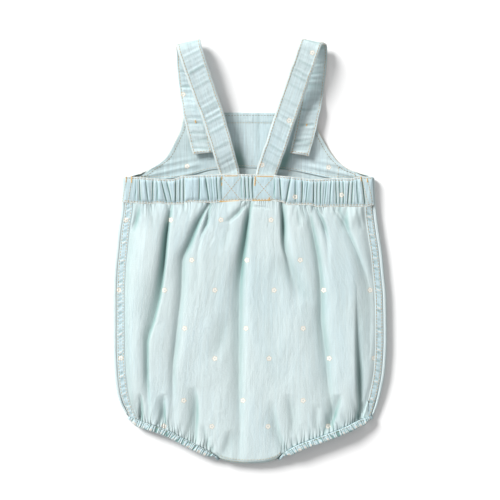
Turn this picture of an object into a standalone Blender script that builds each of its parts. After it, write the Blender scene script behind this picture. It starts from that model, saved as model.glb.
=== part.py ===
"""A baby's bubble romper in washed denim, laid flat on its front and seen from its back.

The frame is in metres with +Z up: +X to the right, +Y towards the shoulders, and the flat front
panel resting at Z = 0. Sizes in the tables are millimetres in that same frame.
"""

import math

import bpy
import numpy as np

MM = 0.001

# Cloth
PANEL_WALL = 1.2          # one layer of denim with its turnings
SKIN_WALL = 1.0           # facing and felled seams, which lie on a panel
STRAP_WALL = 1.8          # two layers
SEAM_GAP = 0.3            # between pieces that are sewn together
BAND_GAP = 0.5            # under the waistband, whose edge waves between the panel's grid points
SIDE_SEAM_GAP = 0.65      # at the side seams, whose two edges lie at unlike slopes

# Side turn: the front panel's sides curl up round this ellipse to the side seams
CURL_REACH = 8.0
CURL_ANGLES = (56.0, 28.0, 0.0, -30.0, -60.0, -90.0)
SEAM_INSET = CURL_REACH * (1 - math.cos(math.radians(CURL_ANGLES[0])))
SEAM_LIFT = 1 + math.sin(math.radians(CURL_ANGLES[0]))

# Silhouette of the front panel, from the bib's top edge to the ends of the leg openings
OUTLINE = (
    # y,     left x,  right x, curl height
    (140.0,   -67.0,    67.0,  0.0),
    (124.0,   -70.0,    68.5,  0.0),
    (109.0,   -77.0,    76.0,  0.0),
    (94.0,    -86.0,    86.0,  0.0),
    (83.0,   -102.0,    99.5,  0.0),
    (77.5,   -115.0,   118.0,  2.2),
    (74.0,   -127.5,   124.5,  3.9),
    (60.0,   -128.0,   125.0,  4.0),
    (42.0,   -129.0,   126.5,  4.0),
    (22.0,   -132.0,   129.0,  4.2),
    (2.0,    -134.0,   132.0,  4.4),
    (-18.0,  -136.0,   134.0,  4.5),
    (-48.0,  -137.0,   136.5,  4.5),
    (-88.0,  -137.0,   137.0,  4.5),
    (-118.0, -136.0,   135.5,  4.2),
    (-138.0, -134.0,   132.0,  3.8),
    (-150.0, -131.0,   129.0,  3.4),
    (-163.0, -124.5,   124.5,  3.2),
)
CURL_FULL = 3.9           # curl height from which a side turns over fully
BODY_TOP_Y = 48.0         # where the gathered body meets the waistband
LEG_END_Y = OUTLINE[-1][0]
LEG_SHAPING_Y = -110.0    # rows below this bend towards the leg openings

# Lower edge of the panels: left leg opening, crotch, right leg opening
LOWER_EDGE = (
    # x,      y
    (-124.5, -163.0),
    (-112.0, -168.0),
    (-83.4,  -177.5),
    (-63.5,  -187.5),
    (-51.2,  -193.5),
    (-41.0,  -198.5),
    (-35.5,  -202.0),
    (-29.0,  -208.0),
    (-17.0,  -211.0),
    (-3.0,   -212.0),
    (13.0,   -211.3),
    (26.0,   -208.0),
    (33.0,   -201.5),
    (38.5,   -197.5),
    (45.0,   -193.8),
    (56.7,   -189.0),
    (73.6,   -183.0),
    (96.5,   -174.0),
    (108.0,  -168.5),
    (124.5,  -163.0),
)
CROTCH_LEFT = (-37.5, -29.0)      # the leg casing stops and the rolled crotch edge begins
CROTCH_RIGHT = (26.0, 35.0)

# Body: crown of the gathered back over the surface, and how deep its folds go, by row
BACK_ROWS = (
    0.0, 0.025, 0.07, 0.12, 0.18, 0.25, 0.32, 0.40, 0.48, 0.56, 0.64,
    0.71, 0.77, 0.825, 0.875, 0.915, 0.945, 0.966, 0.98, 0.9914, 0.9975, 1.0,
)
BACK_CROWN = (
    # row,  height, fold depth
    (0.00,  10.9,   1.8),
    (0.05,  12.8,   4.0),
    (0.12,  14.8,   6.0),
    (0.25,  16.4,   7.6),
    (0.40,  16.8,   8.2),
    (0.60,  16.8,   8.2),
    (0.75,  16.0,   7.6),
    (0.86,  14.2,   5.6),
    (0.93,  12.0,   3.6),
    (1.00,   8.6,   1.0),
)
SIDE_RISE = 30.0          # from the side seam to the full height
CROTCH_ROLL = 10.0        # radius of the crotch edge, which rolls down to the front
CROTCH_END = 2.4          # height of its last row
BAND_BEND = 4             # how fast the rows straighten below the waistband's edge

# Fold valleys of the back panel, from left to right: the middle of each at eight heights
FOLD_HEIGHTS = (46.0, 20.0, -10.0, -40.0, -66.0, -93.0, -120.0, -148.0)
FOLDS = (
    dict(x=(-114, -119, -119, -118, -118, -119, -117, -110), left=5, right=4,
         depth=(0.8, 0.5, 0.1, 0.0, 0.0, 0.0, 0.0, 0.2)),
    dict(x=(-80, -85, -89, -95, -102, -106.5, -105.5, -100), left=9, right=4,
         depth=(0.9, 1.0, 1.0, 0.9, 0.9, 0.8, 0.8, 0.7)),
    dict(x=(-43.5, -54, -68, -70, -72.5, -75, -77, -79), left=6, right=8,
         depth=(0.9, 0.9, 0.6, 0.55, 0.6, 0.6, 0.5, 0.4)),
    dict(x=(-37.5, -43, -49, -50, -50, -47, -42, -37), left=4, right=5,
         depth=(0.9, 0.6, 0.15, 0.0, 0.0, 0.0, 0.1, 0.2)),
    dict(x=(-2, -5.5, -11.5, -14.5, -18.5, -15.5, -14, -11), left=9, right=4,
         depth=(1.0, 0.9, 0.85, 0.75, 0.6, 0.6, 0.5, 0.4)),
    dict(x=(32, 34, 38, 42, 40, 38, 35, 34), left=5, right=7,
         depth=(1.0, 0.8, 0.45, 0.3, 0.15, 0.0, 0.0, 0.2)),
    dict(x=(49, 61.5, 65, 67, 68, 69.3, 72, 76), left=6, right=7,
         depth=(0.6, 0.75, 0.9, 0.9, 0.75, 0.7, 0.6, 0.5)),
    dict(x=(67, 76, 77, 80, 84, 86, 88, 92), left=3, right=4,
         depth=(0.8, 0.6, 0.2, 0.0, 0.0, 0.0, 0.0, 0.2)),
    dict(x=(86, 98, 109, 116, 117.5, 115.5, 111.5, 110), left=4, right=8,
         depth=(0.7, 0.8, 0.9, 0.8, 0.8, 0.8, 0.9, 0.8)),
)
FOLD_STEPS = (0.0, 0.14, 0.36, 0.64, 0.86)    # grid columns between one fold and the next
FOLD_SHARPNESS = 1.6      # 1 would give a crease, 2 a rounded trough

# Felled side seams, strips on the back panel's edges
SEAM_WIDTH = 8.0
SEAM_STEPS = (0.0, 0.5, 1.0)                  # grid columns across a strip

# Back waistband: an elastic casing
BAND_TOP = (
    # x,      y
    (-127.0,  75.5), (-112.0, 75.0), (-97.0, 73.5), (-80.0, 72.5), (-66.0, 76.0), (-40.0, 77.0),
    (-18.0,   78.0), (0.0, 77.5), (20.0, 77.0), (32.0, 76.0), (50.0, 74.0), (64.0, 72.5),
    (80.0,    73.5), (100.0, 73.5), (110.0, 75.5), (125.0, 75.5),
)
BAND_BOTTOM = (
    # x,      y
    (-127.0,  49.7), (-100.0, 48.0), (-91.0, 49.0), (-81.0, 47.5), (-66.0, 48.0), (-60.0, 50.0),
    (-41.0,   49.0), (-10.0, 51.0), (20.0, 51.0), (32.0, 49.5), (38.0, 47.0), (59.0, 47.0),
    (67.0,    45.0), (94.0, 45.2), (116.0, 45.2), (125.0, 47.0),
)
BAND_UNDER = (
    # x,      height of the plain inner face
    (-127.0,  7.4), (-100.0, 8.2), (-50.0, 9.1), (50.0, 9.1), (100.0, 8.2), (125.0, 7.4),
)
BAND_MIDDLE_Y = 60.0
BAND_END_INSET = 0.4      # from the side seams
BAND_THIN = 1.3           # wall at the bottom of a gather
BAND_PLAIN = 2.2          # wall of the flat ends and of the boxed squares
BAND_FULL = 4.2           # wall at the crown between two deep gathers
BAND_FULL_PITCH = 7.0     # gathers closer than this stand lower
BAND_LEAST_FULL = 0.35    # share of the full height that the closest ones keep
BAND_WIDE_PITCH = 5.0     # gathers wider than this take the finer steps
BAND_FINE_STEPS = (0.0, 0.25, 0.5, 0.75)
BAND_STEPS = (0.0, 0.5)
BAND_ROUNDNESS = 0.6      # below 1 the crown between two gathers is full, not peaked
BAND_ROWS = (0.0, 0.14, 0.5, 0.86, 1.0)
BAND_ROW_FULLNESS = (0.45, 0.9, 1.0, 0.9, 0.45)
GATHERS = (
    # x at the top edge, x at the bottom edge, depth
    (-114.0, -114.5, 0.5), (-110.5, -109.5, 0.9), (-104.5, -101.0, 0.6), (-96.7, -97.8, 0.9),
    (-93.0, -92.6, 0.6), (-89.0, -82.4, 0.8), (-83.7, -77.9, 0.8), (-74.0, -74.3, 0.9),
    (-69.6, -69.8, 0.8), (-66.0, -65.8, 0.9), (-50.5, -51.0, 0.9), (-44.8, -40.6, 0.8),
    (-39.2, -36.8, 0.5), (-33.5, -32.0, 0.7), (-29.0, -28.6, 0.6),
    (-8.6, -8.4, 0.6), (-5.2, -3.9, 0.8), (-1.4, -0.3, 0.8), (2.8, 3.0, 0.7),
    (24.6, 24.0, 0.6), (29.4, 31.6, 0.9), (41.0, 35.4, 0.9), (45.4, 45.6, 0.6),
    (52.0, 51.5, 0.9), (58.2, 55.4, 0.6), (63.8, 63.6, 0.8), (67.4, 67.0, 0.8),
    (71.0, 70.6, 0.8), (76.7, 74.2, 0.5), (81.5, 79.6, 0.6), (85.6, 86.4, 0.8),
    (89.2, 89.8, 0.8), (92.8, 93.4, 0.8), (99.6, 97.4, 0.9), (103.2, 101.4, 0.9),
    (106.6, 108.6, 0.6), (111.4, 115.0, 0.9),
)
BOXED_SQUARES = ((-28.8, -8.5), (3.0, 24.3))  # crossed stitching holds the straps behind them
BOXED_EDGE = 1.0

# Bib facing, a skin on the bib's inside, down to its curved lower edge
FACING_LOWER_EDGE = (
    # x,     y
    (-95.0,  71.0), (-63.0, 76.0), (-35.0, 83.0), (-10.0, 84.5), (12.0, 84.0),
    (40.0,   82.0), (75.0, 75.0), (95.0, 71.0),
)
FACING_LAST_ROWS = (0.5, 1.0)
FACING_LEAST_ROW = 1.0    # the last rows together are at least this tall

# Front panel's grid: its rows above the body, which shares the back panel's rows, and the columns
# of its flat part by fraction of the half width
BIB_ROWS = (140.0, 135.0, 129.0, 122.0, 115.0, 107.0, 98.0, 90.0, 84.0, 80.5, 77.5, 74.0, 62.0)
FRONT_COLUMNS = (-0.88, -0.75, -0.6, -0.4, -0.2, 0.0, 0.2, 0.4, 0.6, 0.75, 0.88)
FACING_FIRST_ROWS = 9     # rows of the front panel that the facing shares
FACING_SIDE_COLUMNS = (1, 3)

# Buttons on the bib's face, under the strap ends
BUTTON_AT = {"left": (-55.6, 130.3), "right": (55.7, 126.8)}
BUTTON_RADIUS = 7.5
BUTTON_THICK = 2.6
BUTTON_RIM = 1.4
BUTTON_DISH = 0.5
BUTTON_SIDES = 28
BIB_RAISED_RADIUS = 13.0
BIB_RAISED_REACH = 31.0

# Straps: the middle line from the sewn end on the bib, over the shoulder fold, to the waistband
STRAPS = {
    "left": (
        # x,     y,     height, width, angle of the cross line
        (-47.2,  98.6,   6.8,   19.4,   6.0),
        (-49.6,  108.0,  6.3,   19.8,   9.0),
        (-52.0,  119.0,  6.9,   20.4,  11.0),
        (-54.4,  130.3,  7.0,   21.0,  11.0),
        (-56.6,  141.5,  6.9,   21.6,  10.0),
        (-58.8,  156.0,  3.2,   22.4,   8.0),
        (-60.6,  172.0,  1.2,   23.2,   7.5),
        (-61.8,  188.0,  1.1,   23.8,   9.0),
        (-62.2,  199.0,  1.8,   24.2,  11.0),
        (-62.1,  206.0,  4.2,   24.4,  12.0),
        (-61.6,  209.4,  8.6,   24.5,  12.5),
        (-60.9,  207.4,  13.4,  24.5,  13.0),
        (-59.4,  201.0,  16.2,  24.4,  15.0),
        (-56.0,  190.0,  16.8,  24.2,  18.0),
        (-50.2,  173.0,  16.0,  23.6,  19.5),
        (-43.4,  154.0,  15.0,  23.0,  19.0),
        (-37.0,  136.0,  14.2,  22.4,  17.5),
        (-31.4,  118.0,  13.6,  21.8,  16.5),
        (-26.4,  100.0,  12.6,  21.2,  15.5),
        (-22.9,  88.0,   9.9,   20.6,  15.0),
        (-20.6,  79.5,   7.8,   20.2,  13.0),
        (-18.6,  66.0,   7.7,   20.0,   5.0),
        (-18.2,  52.5,   7.7,   20.0,   0.0),
    ),
    "right": (
        (49.4,   97.4,   6.9,   19.8,  -9.5),
        (51.8,   107.0,  6.3,   20.2, -10.5),
        (54.2,   116.0,  6.9,   20.8, -11.0),
        (56.6,   127.0,  7.0,   21.2, -11.5),
        (59.8,   141.5,  6.9,   21.4, -11.0),
        (62.2,   155.5,  3.2,   21.6,  -9.0),
        (64.4,   171.0,  1.2,   21.8,  -7.0),
        (66.0,   187.0,  1.1,   22.0,  -6.0),
        (66.8,   198.0,  1.9,   22.0,  -7.0),
        (66.6,   205.6,  4.8,   22.0,  -9.0),
        (65.0,   209.6,  10.0,  22.0, -10.0),
        (61.6,   209.0,  15.6,  21.8, -11.0),
        (58.6,   202.4,  18.8,  21.8, -14.0),
        (54.0,   189.0,  19.0,  21.8, -18.0),
        (48.2,   172.0,  17.6,  21.8, -18.5),
        (42.0,   154.0,  16.0,  21.8, -18.5),
        (35.8,   136.0,  14.8,  21.6, -19.0),
        (29.8,   118.0,  13.8,  21.4, -19.5),
        (23.8,   100.0,  12.6,  21.2, -19.0),
        (19.6,   88.0,   9.9,   21.0, -18.0),
        (16.6,   79.5,   7.8,   20.6, -15.0),
        (14.0,   66.0,   7.7,   20.2,  -6.0),
        (13.5,   52.5,   7.7,   20.0,   0.0),
    ),
}
STRAP_STEPS = 2           # grid rows between two places of the table
STRAP_COLUMNS = (-1.0, -0.5, 0.0, 0.5, 1.0)

# Leg casings: a flattened ring round each leg opening
CASING_WIDTH = 7.4
CASING_GAP = 0.8          # from the panels' edges, whose grids cut the curve's corners
CASING_UNDER_WALL = 1.3
CASING_OVER_WALL = 2.6
CASING_OVER_Z = 7.4       # middle of the gathered upper half
CASING_WAVE = 0.75        # height of its gathers
CASING_WAVES = 26
CASING_UNEVEN = 0.3       # some gathers stand higher than others by this share
CASING_UNEVEN_TURN = 1.9  # radians by which that differs from one gather to the next
CASING_SPREAD = 1 / 3     # how far a gather's height widens the band
CASING_WAVE_STEPS = 4
CASING_TURN_STEPS = 5
CASING_UNDER_STEPS = 14
CASING_SIDE_END = 118.8   # distance of the turns from the centre line
CASING_CROTCH_END = {"left": 39.5, "right": 36.5}
CASING_SMOOTHING = 6
CASING_CROWN = 0.3        # how much thicker the gathered half is along its middle
CASING_SECTION = (
    # across the band, through the wall, share of the gather
    (-1.0, -1.0, 0.0), (-1.0, 1.0, 0.4), (0.0, 1.0, 1.0), (1.0, 1.0, 0.6), (1.0, -1.0, 0.0),
)

COLOURS = {
    "denim": (0.63, 0.79, 0.82, 1.0),
    "denim_shade": (0.52, 0.70, 0.76, 1.0),
    "button": (0.62, 0.50, 0.36, 1.0),
}
ROUGHNESS = {"denim": 0.9, "denim_shade": 0.9, "button": 0.4}


def smooth(stations, values, at):
    """Heights of a smooth curve through each station, which never swings past a station's value."""
    stations = np.asarray(stations, float)
    values = np.asarray(values, float)
    if stations[0] > stations[-1]:
        stations, values = stations[::-1], values[::-1]
    step = np.diff(stations)
    rise = np.diff(values) / step
    slope = np.zeros_like(values)
    product = rise[:-1] * rise[1:]
    total = np.where(product > 0, rise[:-1] + rise[1:], 1.0)
    slope[1:-1] = np.where(product > 0, 2 * product / total, 0.0)
    slope[0], slope[-1] = rise[0], rise[-1]
    at = np.clip(at, stations[0], stations[-1])
    i = np.clip(np.searchsorted(stations, at) - 1, 0, len(step) - 1)
    t = (at - stations[i]) / step[i]
    start = (1 + 2 * t) * (1 - t) ** 2 * values[i] + t * (1 - t) ** 2 * step[i] * slope[i]
    end = t * t * (3 - 2 * t) * values[i + 1] + t * t * (t - 1) * step[i] * slope[i + 1]
    return start + end


def column(table, index):
    """One named column of a table."""
    return np.array([row[index] for row in table], float)


def ease(value, low, high):
    """0 up to low, 1 from high on, and smooth in between."""
    t = np.clip((value - low) / (high - low), 0.0, 1.0)
    return t * t * (3 - 2 * t)


def outline(y):
    """Left edge, right edge and curl height of the front panel at a height."""
    ys = column(OUTLINE, 0)
    return tuple(smooth(ys, column(OUTLINE, i), y) for i in (1, 2, 3))


def lower_edge(x):
    """Height of the panels' lower edge under a place."""
    return smooth(column(LOWER_EDGE, 0), column(LOWER_EDGE, 1), x)


def bend_row(y, x, end):
    """A row's height, where the last rows bend from straight to the lower edge."""
    share = np.clip((LEG_SHAPING_Y - y) / (LEG_SHAPING_Y - LEG_END_Y), 0.0, 1.0)
    return np.where(y < LEG_SHAPING_Y, LEG_SHAPING_Y + share * (end - LEG_SHAPING_Y), y)


def crotch_share(x):
    """1 along the rolled crotch edge and 0 along the leg openings."""
    return ease(x, *CROTCH_LEFT) * (1 - ease(x, *CROTCH_RIGHT))


def bib_rise(x, y):
    """How far the bib is lifted by the buttons under it."""
    rise = np.zeros_like(x)
    for place in BUTTON_AT.values():
        distance = np.hypot(x - place[0], y - place[1])
        rise = np.maximum(rise, 1 - ease(distance, BIB_RAISED_RADIUS, BIB_RAISED_REACH))
    return (BUTTON_THICK + SEAM_GAP) * rise


def front_points():
    """The front panel's underside: flat, with its sides curled up and over round an ellipse."""
    y = np.concatenate([BIB_ROWS, body_heights()])[:, None]
    left, right, curl = outline(y)
    angle = np.radians(CURL_ANGLES)[None, :]
    turned = CURL_REACH * (1 - np.cos(angle))
    plain = CURL_REACH * np.linspace(0.0, 1.0, len(CURL_ANGLES))[None, :]
    share = np.clip(curl / CURL_FULL, 0.0, 1.0)
    inset = plain + share * (turned - plain)
    lift = curl * (1 + np.sin(angle))
    middle = (left + right) / 2
    half = (right - left) / 2 - CURL_REACH
    flat = middle + half * np.array(FRONT_COLUMNS)[None, :]
    x = np.hstack([left + inset, flat, (right - inset)[:, ::-1]])
    z = np.hstack([lift, np.zeros_like(flat), lift[:, ::-1]])
    end = lower_edge(x) + (PANEL_WALL + SEAM_GAP) * crotch_share(x)
    y = bend_row(y + np.zeros_like(x), x, end)
    return np.dstack([x, y, z + bib_rise(x, y)])


def body_heights():
    """Heights of the body's rows, from the waistband down to the ends of the leg openings."""
    return BODY_TOP_Y + np.array(BACK_ROWS) * (LEG_END_Y - BODY_TOP_Y)


def seam_places(y):
    """Where the side seams run: x of each and their height, at a height of the body."""
    left, right, curl = outline(y)
    inset = SEAM_INSET + SIDE_SEAM_GAP
    return left + inset, right - inset, curl * SEAM_LIFT


def fold_places(y):
    """Middle and strength of each fold at the given heights, one row for each height."""
    places = np.stack([smooth(FOLD_HEIGHTS, fold["x"], y) for fold in FOLDS], axis=1)
    depths = np.stack([smooth(FOLD_HEIGHTS, fold["depth"], y) for fold in FOLDS], axis=1)
    return places, depths


def back_columns(y):
    """x of each grid column at each height: strips at both seams, and steps from fold to fold."""
    left, right, _ = seam_places(y)
    places, _ = fold_places(y)
    steps = SEAM_WIDTH * np.array(SEAM_STEPS)
    marks = np.column_stack([left + SEAM_WIDTH, places, right - SEAM_WIDTH])
    parts = [left[:, None] + steps[:-1]]
    for start, end in zip(marks.T[:-1], marks.T[1:]):
        parts.append(start[:, None] + (end - start)[:, None] * np.array(FOLD_STEPS))
    parts.append(right[:, None] - steps[::-1])
    return np.hstack(parts)


def back_points():
    """The back panel's outer face: a crowned sheet with fold valleys and a rolled crotch edge."""
    row = np.array(BACK_ROWS)
    height = body_heights()
    x = back_columns(height)
    places, depths = fold_places(height)
    left, right, seam = seam_places(height)
    crown = smooth(column(BACK_CROWN, 0), column(BACK_CROWN, 1), row)
    deep = smooth(column(BACK_CROWN, 0), column(BACK_CROWN, 2), row)
    near = np.minimum(x - left[:, None], right[:, None] - x)
    rise = np.sin(math.pi / 2 * np.clip(near / SIDE_RISE, 0.0, 1.0))
    z = seam[:, None] + (crown - seam)[:, None] * rise
    for index, fold in enumerate(FOLDS):
        offset = x - places[:, index, None]
        reach = np.where(offset < 0, fold["left"], fold["right"])
        valley = np.exp(-np.abs(offset / reach) ** FOLD_SHARPNESS)
        z -= (deep * depths[:, index])[:, None] * valley * rise
    to_band = smooth(column(BAND_BOTTOM, 0), column(BAND_BOTTOM, 1), x) - BAND_GAP - BODY_TOP_Y
    y = height[:, None] + to_band * ((1 - row) ** BAND_BEND)[:, None]
    y = bend_row(y, x, lower_edge(x))
    roll = np.clip((y - lower_edge(x)) / CROTCH_ROLL, 0.0, 1.0)
    rolled = CROTCH_END + (z - CROTCH_END) * np.sqrt(1 - (1 - roll) ** 2)
    share = crotch_share(x)
    return np.dstack([x, y, z + share * (rolled - z)])


def normals(points):
    """Unit normals of a grid of points whose columns run to +X and whose rows run to -Y."""
    across = np.gradient(points, axis=1)
    down = np.gradient(points, axis=0)
    normal = np.cross(down, across)
    return normal / np.linalg.norm(normal, axis=2, keepdims=True)


def grid_faces(rows, columns):
    """Quads of a grid of points, facing up where its columns run to +X and its rows to -Y."""
    i, j = np.meshgrid(np.arange(rows - 1), np.arange(columns - 1), indexing="ij")
    first = (i * columns + j).ravel()
    second = first + columns
    return np.column_stack([first, second, second + 1, first + 1])


def paint(part, colour):
    """Give a piece its own material."""
    finish = bpy.data.materials.new(part.name)
    finish.use_nodes = True
    shader = finish.node_tree.nodes["Principled BSDF"]
    shader.inputs["Base Color"].default_value = COLOURS[colour]
    shader.inputs["Roughness"].default_value = ROUGHNESS[colour]
    shader.inputs["Metallic"].default_value = 0.0
    part.data.materials.append(finish)


def new_object(name, points, faces, colour):
    """A mesh object with its own material, its points given in millimetres."""
    mesh = bpy.data.meshes.new(name)
    mesh.from_pydata((points * MM).tolist(), [], faces.tolist())
    mesh.shade_smooth()
    mesh.update()
    part = bpy.data.objects.new(name, mesh)
    garment.objects.link(part)
    paint(part, colour)
    return part


def cloth_sheet(name, points, wall, colour):
    """A wall of cloth: the grid is its face towards the given side, and Solidify its thickness."""
    rows, columns, _ = points.shape
    part = new_object(name, points.reshape(-1, 3), grid_faces(rows, columns), colour)
    solid = part.modifiers.new("Wall", "SOLIDIFY")
    solid.thickness = abs(wall) * MM
    solid.offset = 1.0 if wall > 0 else -1.0
    return part


def closed_wall(name, upper, lower, colour):
    """A closed solid between an upper and a lower grid of points, joined round their edges."""
    rows, columns, _ = upper.shape
    size = rows * columns
    top = grid_faces(rows, columns)
    under = top[:, ::-1] + size
    index = np.arange(size).reshape(rows, columns)
    edge = np.concatenate([index[0, :-1], index[:-1, -1], index[-1, :0:-1], index[:0:-1, 0]])
    after = np.roll(edge, -1)
    side = np.column_stack([edge, after, after + size, edge + size])
    points = np.vstack([upper.reshape(-1, 3), lower.reshape(-1, 3)])
    return new_object(name, points, np.vstack([top, under, side]), colour)


def closed_ring(name, points, colour):
    """A closed ring of equal sections, one row of the grid for each section."""
    rows, columns, _ = points.shape
    i, j = np.meshgrid(np.arange(rows), np.arange(columns), indexing="ij")
    after = (i + 1) % rows
    beside = (j + 1) % columns
    corners = (i * columns + j, after * columns + j, after * columns + beside, i * columns + beside)
    faces = np.column_stack([corner.ravel() for corner in corners])
    flat = points.reshape(-1, 3)
    first, second, third, fourth = (flat[faces[:, k]] for k in range(4))
    volume = np.einsum("ij,ij->i", first, np.cross(second, third) + np.cross(third, fourth)).sum()
    if volume < 0:
        faces = faces[:, ::-1]
    return new_object(name, flat, faces, colour)


def build_front_panel():
    """Front body and bib in one cut."""
    cloth_sheet("front_panel", front_points(), PANEL_WALL, "denim")


def build_bib_facing():
    """The facing: the bib's own points moved out, and its last rows down to the curved edge."""
    count = len(FRONT_COLUMNS) + 2 * len(CURL_ANGLES)
    middle = np.arange(len(CURL_ANGLES) - 1, count - len(CURL_ANGLES) + 1)
    sides = np.array(FACING_SIDE_COLUMNS)
    kept = np.concatenate([sides, middle, count - 1 - sides[::-1]])
    points = front_points()[:FACING_FIRST_ROWS, kept]
    last = points[-1]
    end = smooth(column(FACING_LOWER_EDGE, 0), column(FACING_LOWER_EDGE, 1), last[:, 0])
    extra = []
    for share in FACING_LAST_ROWS:
        row = last.copy()
        row[:, 1] += share * (np.minimum(end, last[:, 1] - FACING_LEAST_ROW) - last[:, 1])
        extra.append(row)
    points = np.concatenate([points, np.array(extra)])
    out = PANEL_WALL + SEAM_GAP
    cloth_sheet("bib_facing", points + out * normals(points), SKIN_WALL, "denim_shade")


def build_back_panel():
    """The gathered back body."""
    cloth_sheet("back_panel", back_points(), -PANEL_WALL, "denim")


def build_side_seams():
    """Felled seams: the back panel's edge points moved out."""
    points = back_points()
    lifted = points + SEAM_GAP * normals(points)
    count = len(SEAM_STEPS)
    cloth_sheet("side_seam_left", lifted[:, :count], SKIN_WALL, "denim_shade")
    cloth_sheet("side_seam_right", lifted[:, -count:], SKIN_WALL, "denim_shade")


def boxed(x):
    """Whether a place along the waistband lies in one of its boxed squares."""
    return any(low - BOXED_EDGE < x < high + BOXED_EDGE for low, high in BOXED_SQUARES)


def band_columns():
    """Grid columns of the waistband: x at the top edge, x at the bottom edge, wall."""
    left, right, _ = seam_places(np.array([BAND_MIDDLE_Y]))
    first = left[0] + BAND_END_INSET
    final = right[0] - BAND_END_INSET
    marks = ((first, first, 0.0),) + GATHERS + ((final, final, 0.0),)
    columns = []
    for start, end in zip(marks[:-1], marks[1:]):
        gap = (end[0] + end[1] - start[0] - start[1]) / 2
        at_end = start[2] == 0 or end[2] == 0
        flat = at_end or boxed((start[0] + end[0]) / 2)
        full = BAND_FULL * min(1.0, BAND_LEAST_FULL + (1 - BAND_LEAST_FULL) * gap / BAND_FULL_PITCH)
        high = BAND_PLAIN if flat else max(full, BAND_PLAIN)
        for step in BAND_FINE_STEPS if gap > BAND_WIDE_PITCH else BAND_STEPS:
            x_top = start[0] + step * (end[0] - start[0])
            x_bottom = start[1] + step * (end[1] - start[1])
            valley = start[2] * (1 - step) + end[2] * step
            low = high - (high - BAND_THIN) * valley
            crown = math.sin(math.pi * step) ** BAND_ROUNDNESS
            columns.append((x_top, x_bottom, low + (high - low) * crown))
    columns.append((final, final, BAND_PLAIN))
    return np.array(columns)


def build_back_waistband():
    """The casing: a plain inner face, and an outer face that rises between the gathers."""
    columns = band_columns()
    row = np.array(BAND_ROWS)[:, None]
    x = columns[:, 0] + row * (columns[:, 1] - columns[:, 0])
    top = smooth(column(BAND_TOP, 0), column(BAND_TOP, 1), x)
    bottom = smooth(column(BAND_BOTTOM, 0), column(BAND_BOTTOM, 1), x)
    y = top + row * (bottom - top)
    under = smooth(column(BAND_UNDER, 0), column(BAND_UNDER, 1), x)
    full = np.array(BAND_ROW_FULLNESS)[:, None]
    wall = BAND_THIN + (columns[:, 2] - BAND_THIN) * full
    upper = np.dstack([x, y, under + wall])
    lower = np.dstack([x, y, under])
    closed_wall("back_waistband", upper, lower, "denim_shade")


def strap_line(table):
    """The strap's middle line, widths and cross angles, smooth through each place of its table."""
    places = np.arange(len(table), dtype=float)
    at = np.linspace(0, len(table) - 1, STRAP_STEPS * (len(table) - 1) + 1)
    values = np.column_stack([smooth(places, column(table, i), at) for i in range(5)])
    return values[:, :3], values[:, 3], np.radians(values[:, 4])


def build_strap(side):
    """A ribbon along its middle line: cross lines level, thickness square to its face."""
    line, width, angle = strap_line(STRAPS[side])
    across = np.column_stack([np.cos(angle), np.sin(angle), np.zeros_like(angle)])
    along = np.gradient(line, axis=0)
    along /= np.linalg.norm(along, axis=1, keepdims=True)
    face = np.cross(across, along)
    face /= np.linalg.norm(face, axis=1, keepdims=True)
    share = np.array(STRAP_COLUMNS)[None, :, None]
    middle = line[:, None] + across[:, None] * share * width[:, None, None] / 2
    half = face[:, None] * STRAP_WALL / 2
    closed_wall("strap_" + side, (middle + half)[::-1], (middle - half)[::-1], "denim")


def build_button(side):
    """A turned disc with a raised rim, its dished face down."""
    x, y = BUTTON_AT[side]
    inner = BUTTON_RADIUS - BUTTON_RIM
    chamfer = BUTTON_THICK / 4
    profile = np.array([
        (0.0, BUTTON_THICK),
        (BUTTON_RADIUS - chamfer, BUTTON_THICK),
        (BUTTON_RADIUS, BUTTON_THICK - chamfer),
        (BUTTON_RADIUS, chamfer),
        (BUTTON_RADIUS - chamfer / 2, 0.0),
        (inner, 0.0),
        (inner - BUTTON_DISH, BUTTON_DISH),
        (0.0, BUTTON_DISH),
    ])
    mesh = bpy.data.meshes.new("button_" + side)
    points = [(r * MM, 0.0, z * MM) for r, z in profile]
    edges = [(i, i + 1) for i in range(len(points) - 1)]
    mesh.from_pydata(points, edges, [])
    button = bpy.data.objects.new("button_" + side, mesh)
    button.location = (x * MM, y * MM, 0.0)
    garment.objects.link(button)
    turn = button.modifiers.new("Turn", "SCREW")
    turn.steps = BUTTON_SIDES
    turn.render_steps = BUTTON_SIDES
    turn.use_merge_vertices = True
    turn.merge_threshold = 0.00005
    turn.use_smooth_shade = True
    paint(button, "button")


def casing_line(side):
    """The casing's middle line in plan, with its direction and the way out of the leg opening."""
    sign = -1.0 if side == "left" else 1.0
    count = CASING_WAVES * CASING_WAVE_STEPS + 1
    x = sign * np.linspace(CASING_SIDE_END, CASING_CROTCH_END[side], count)
    edge = np.column_stack([x, lower_edge(x)])
    along = np.gradient(edge, axis=0)
    for _ in range(CASING_SMOOTHING):
        along[1:-1] = (along[:-2] + 2 * along[1:-1] + along[2:]) / 4
    along /= np.linalg.norm(along, axis=1, keepdims=True)
    out = sign * np.column_stack([-along[:, 1], along[:, 0]])
    return edge + out * (CASING_WIDTH / 2 + CASING_GAP), along, out


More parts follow.
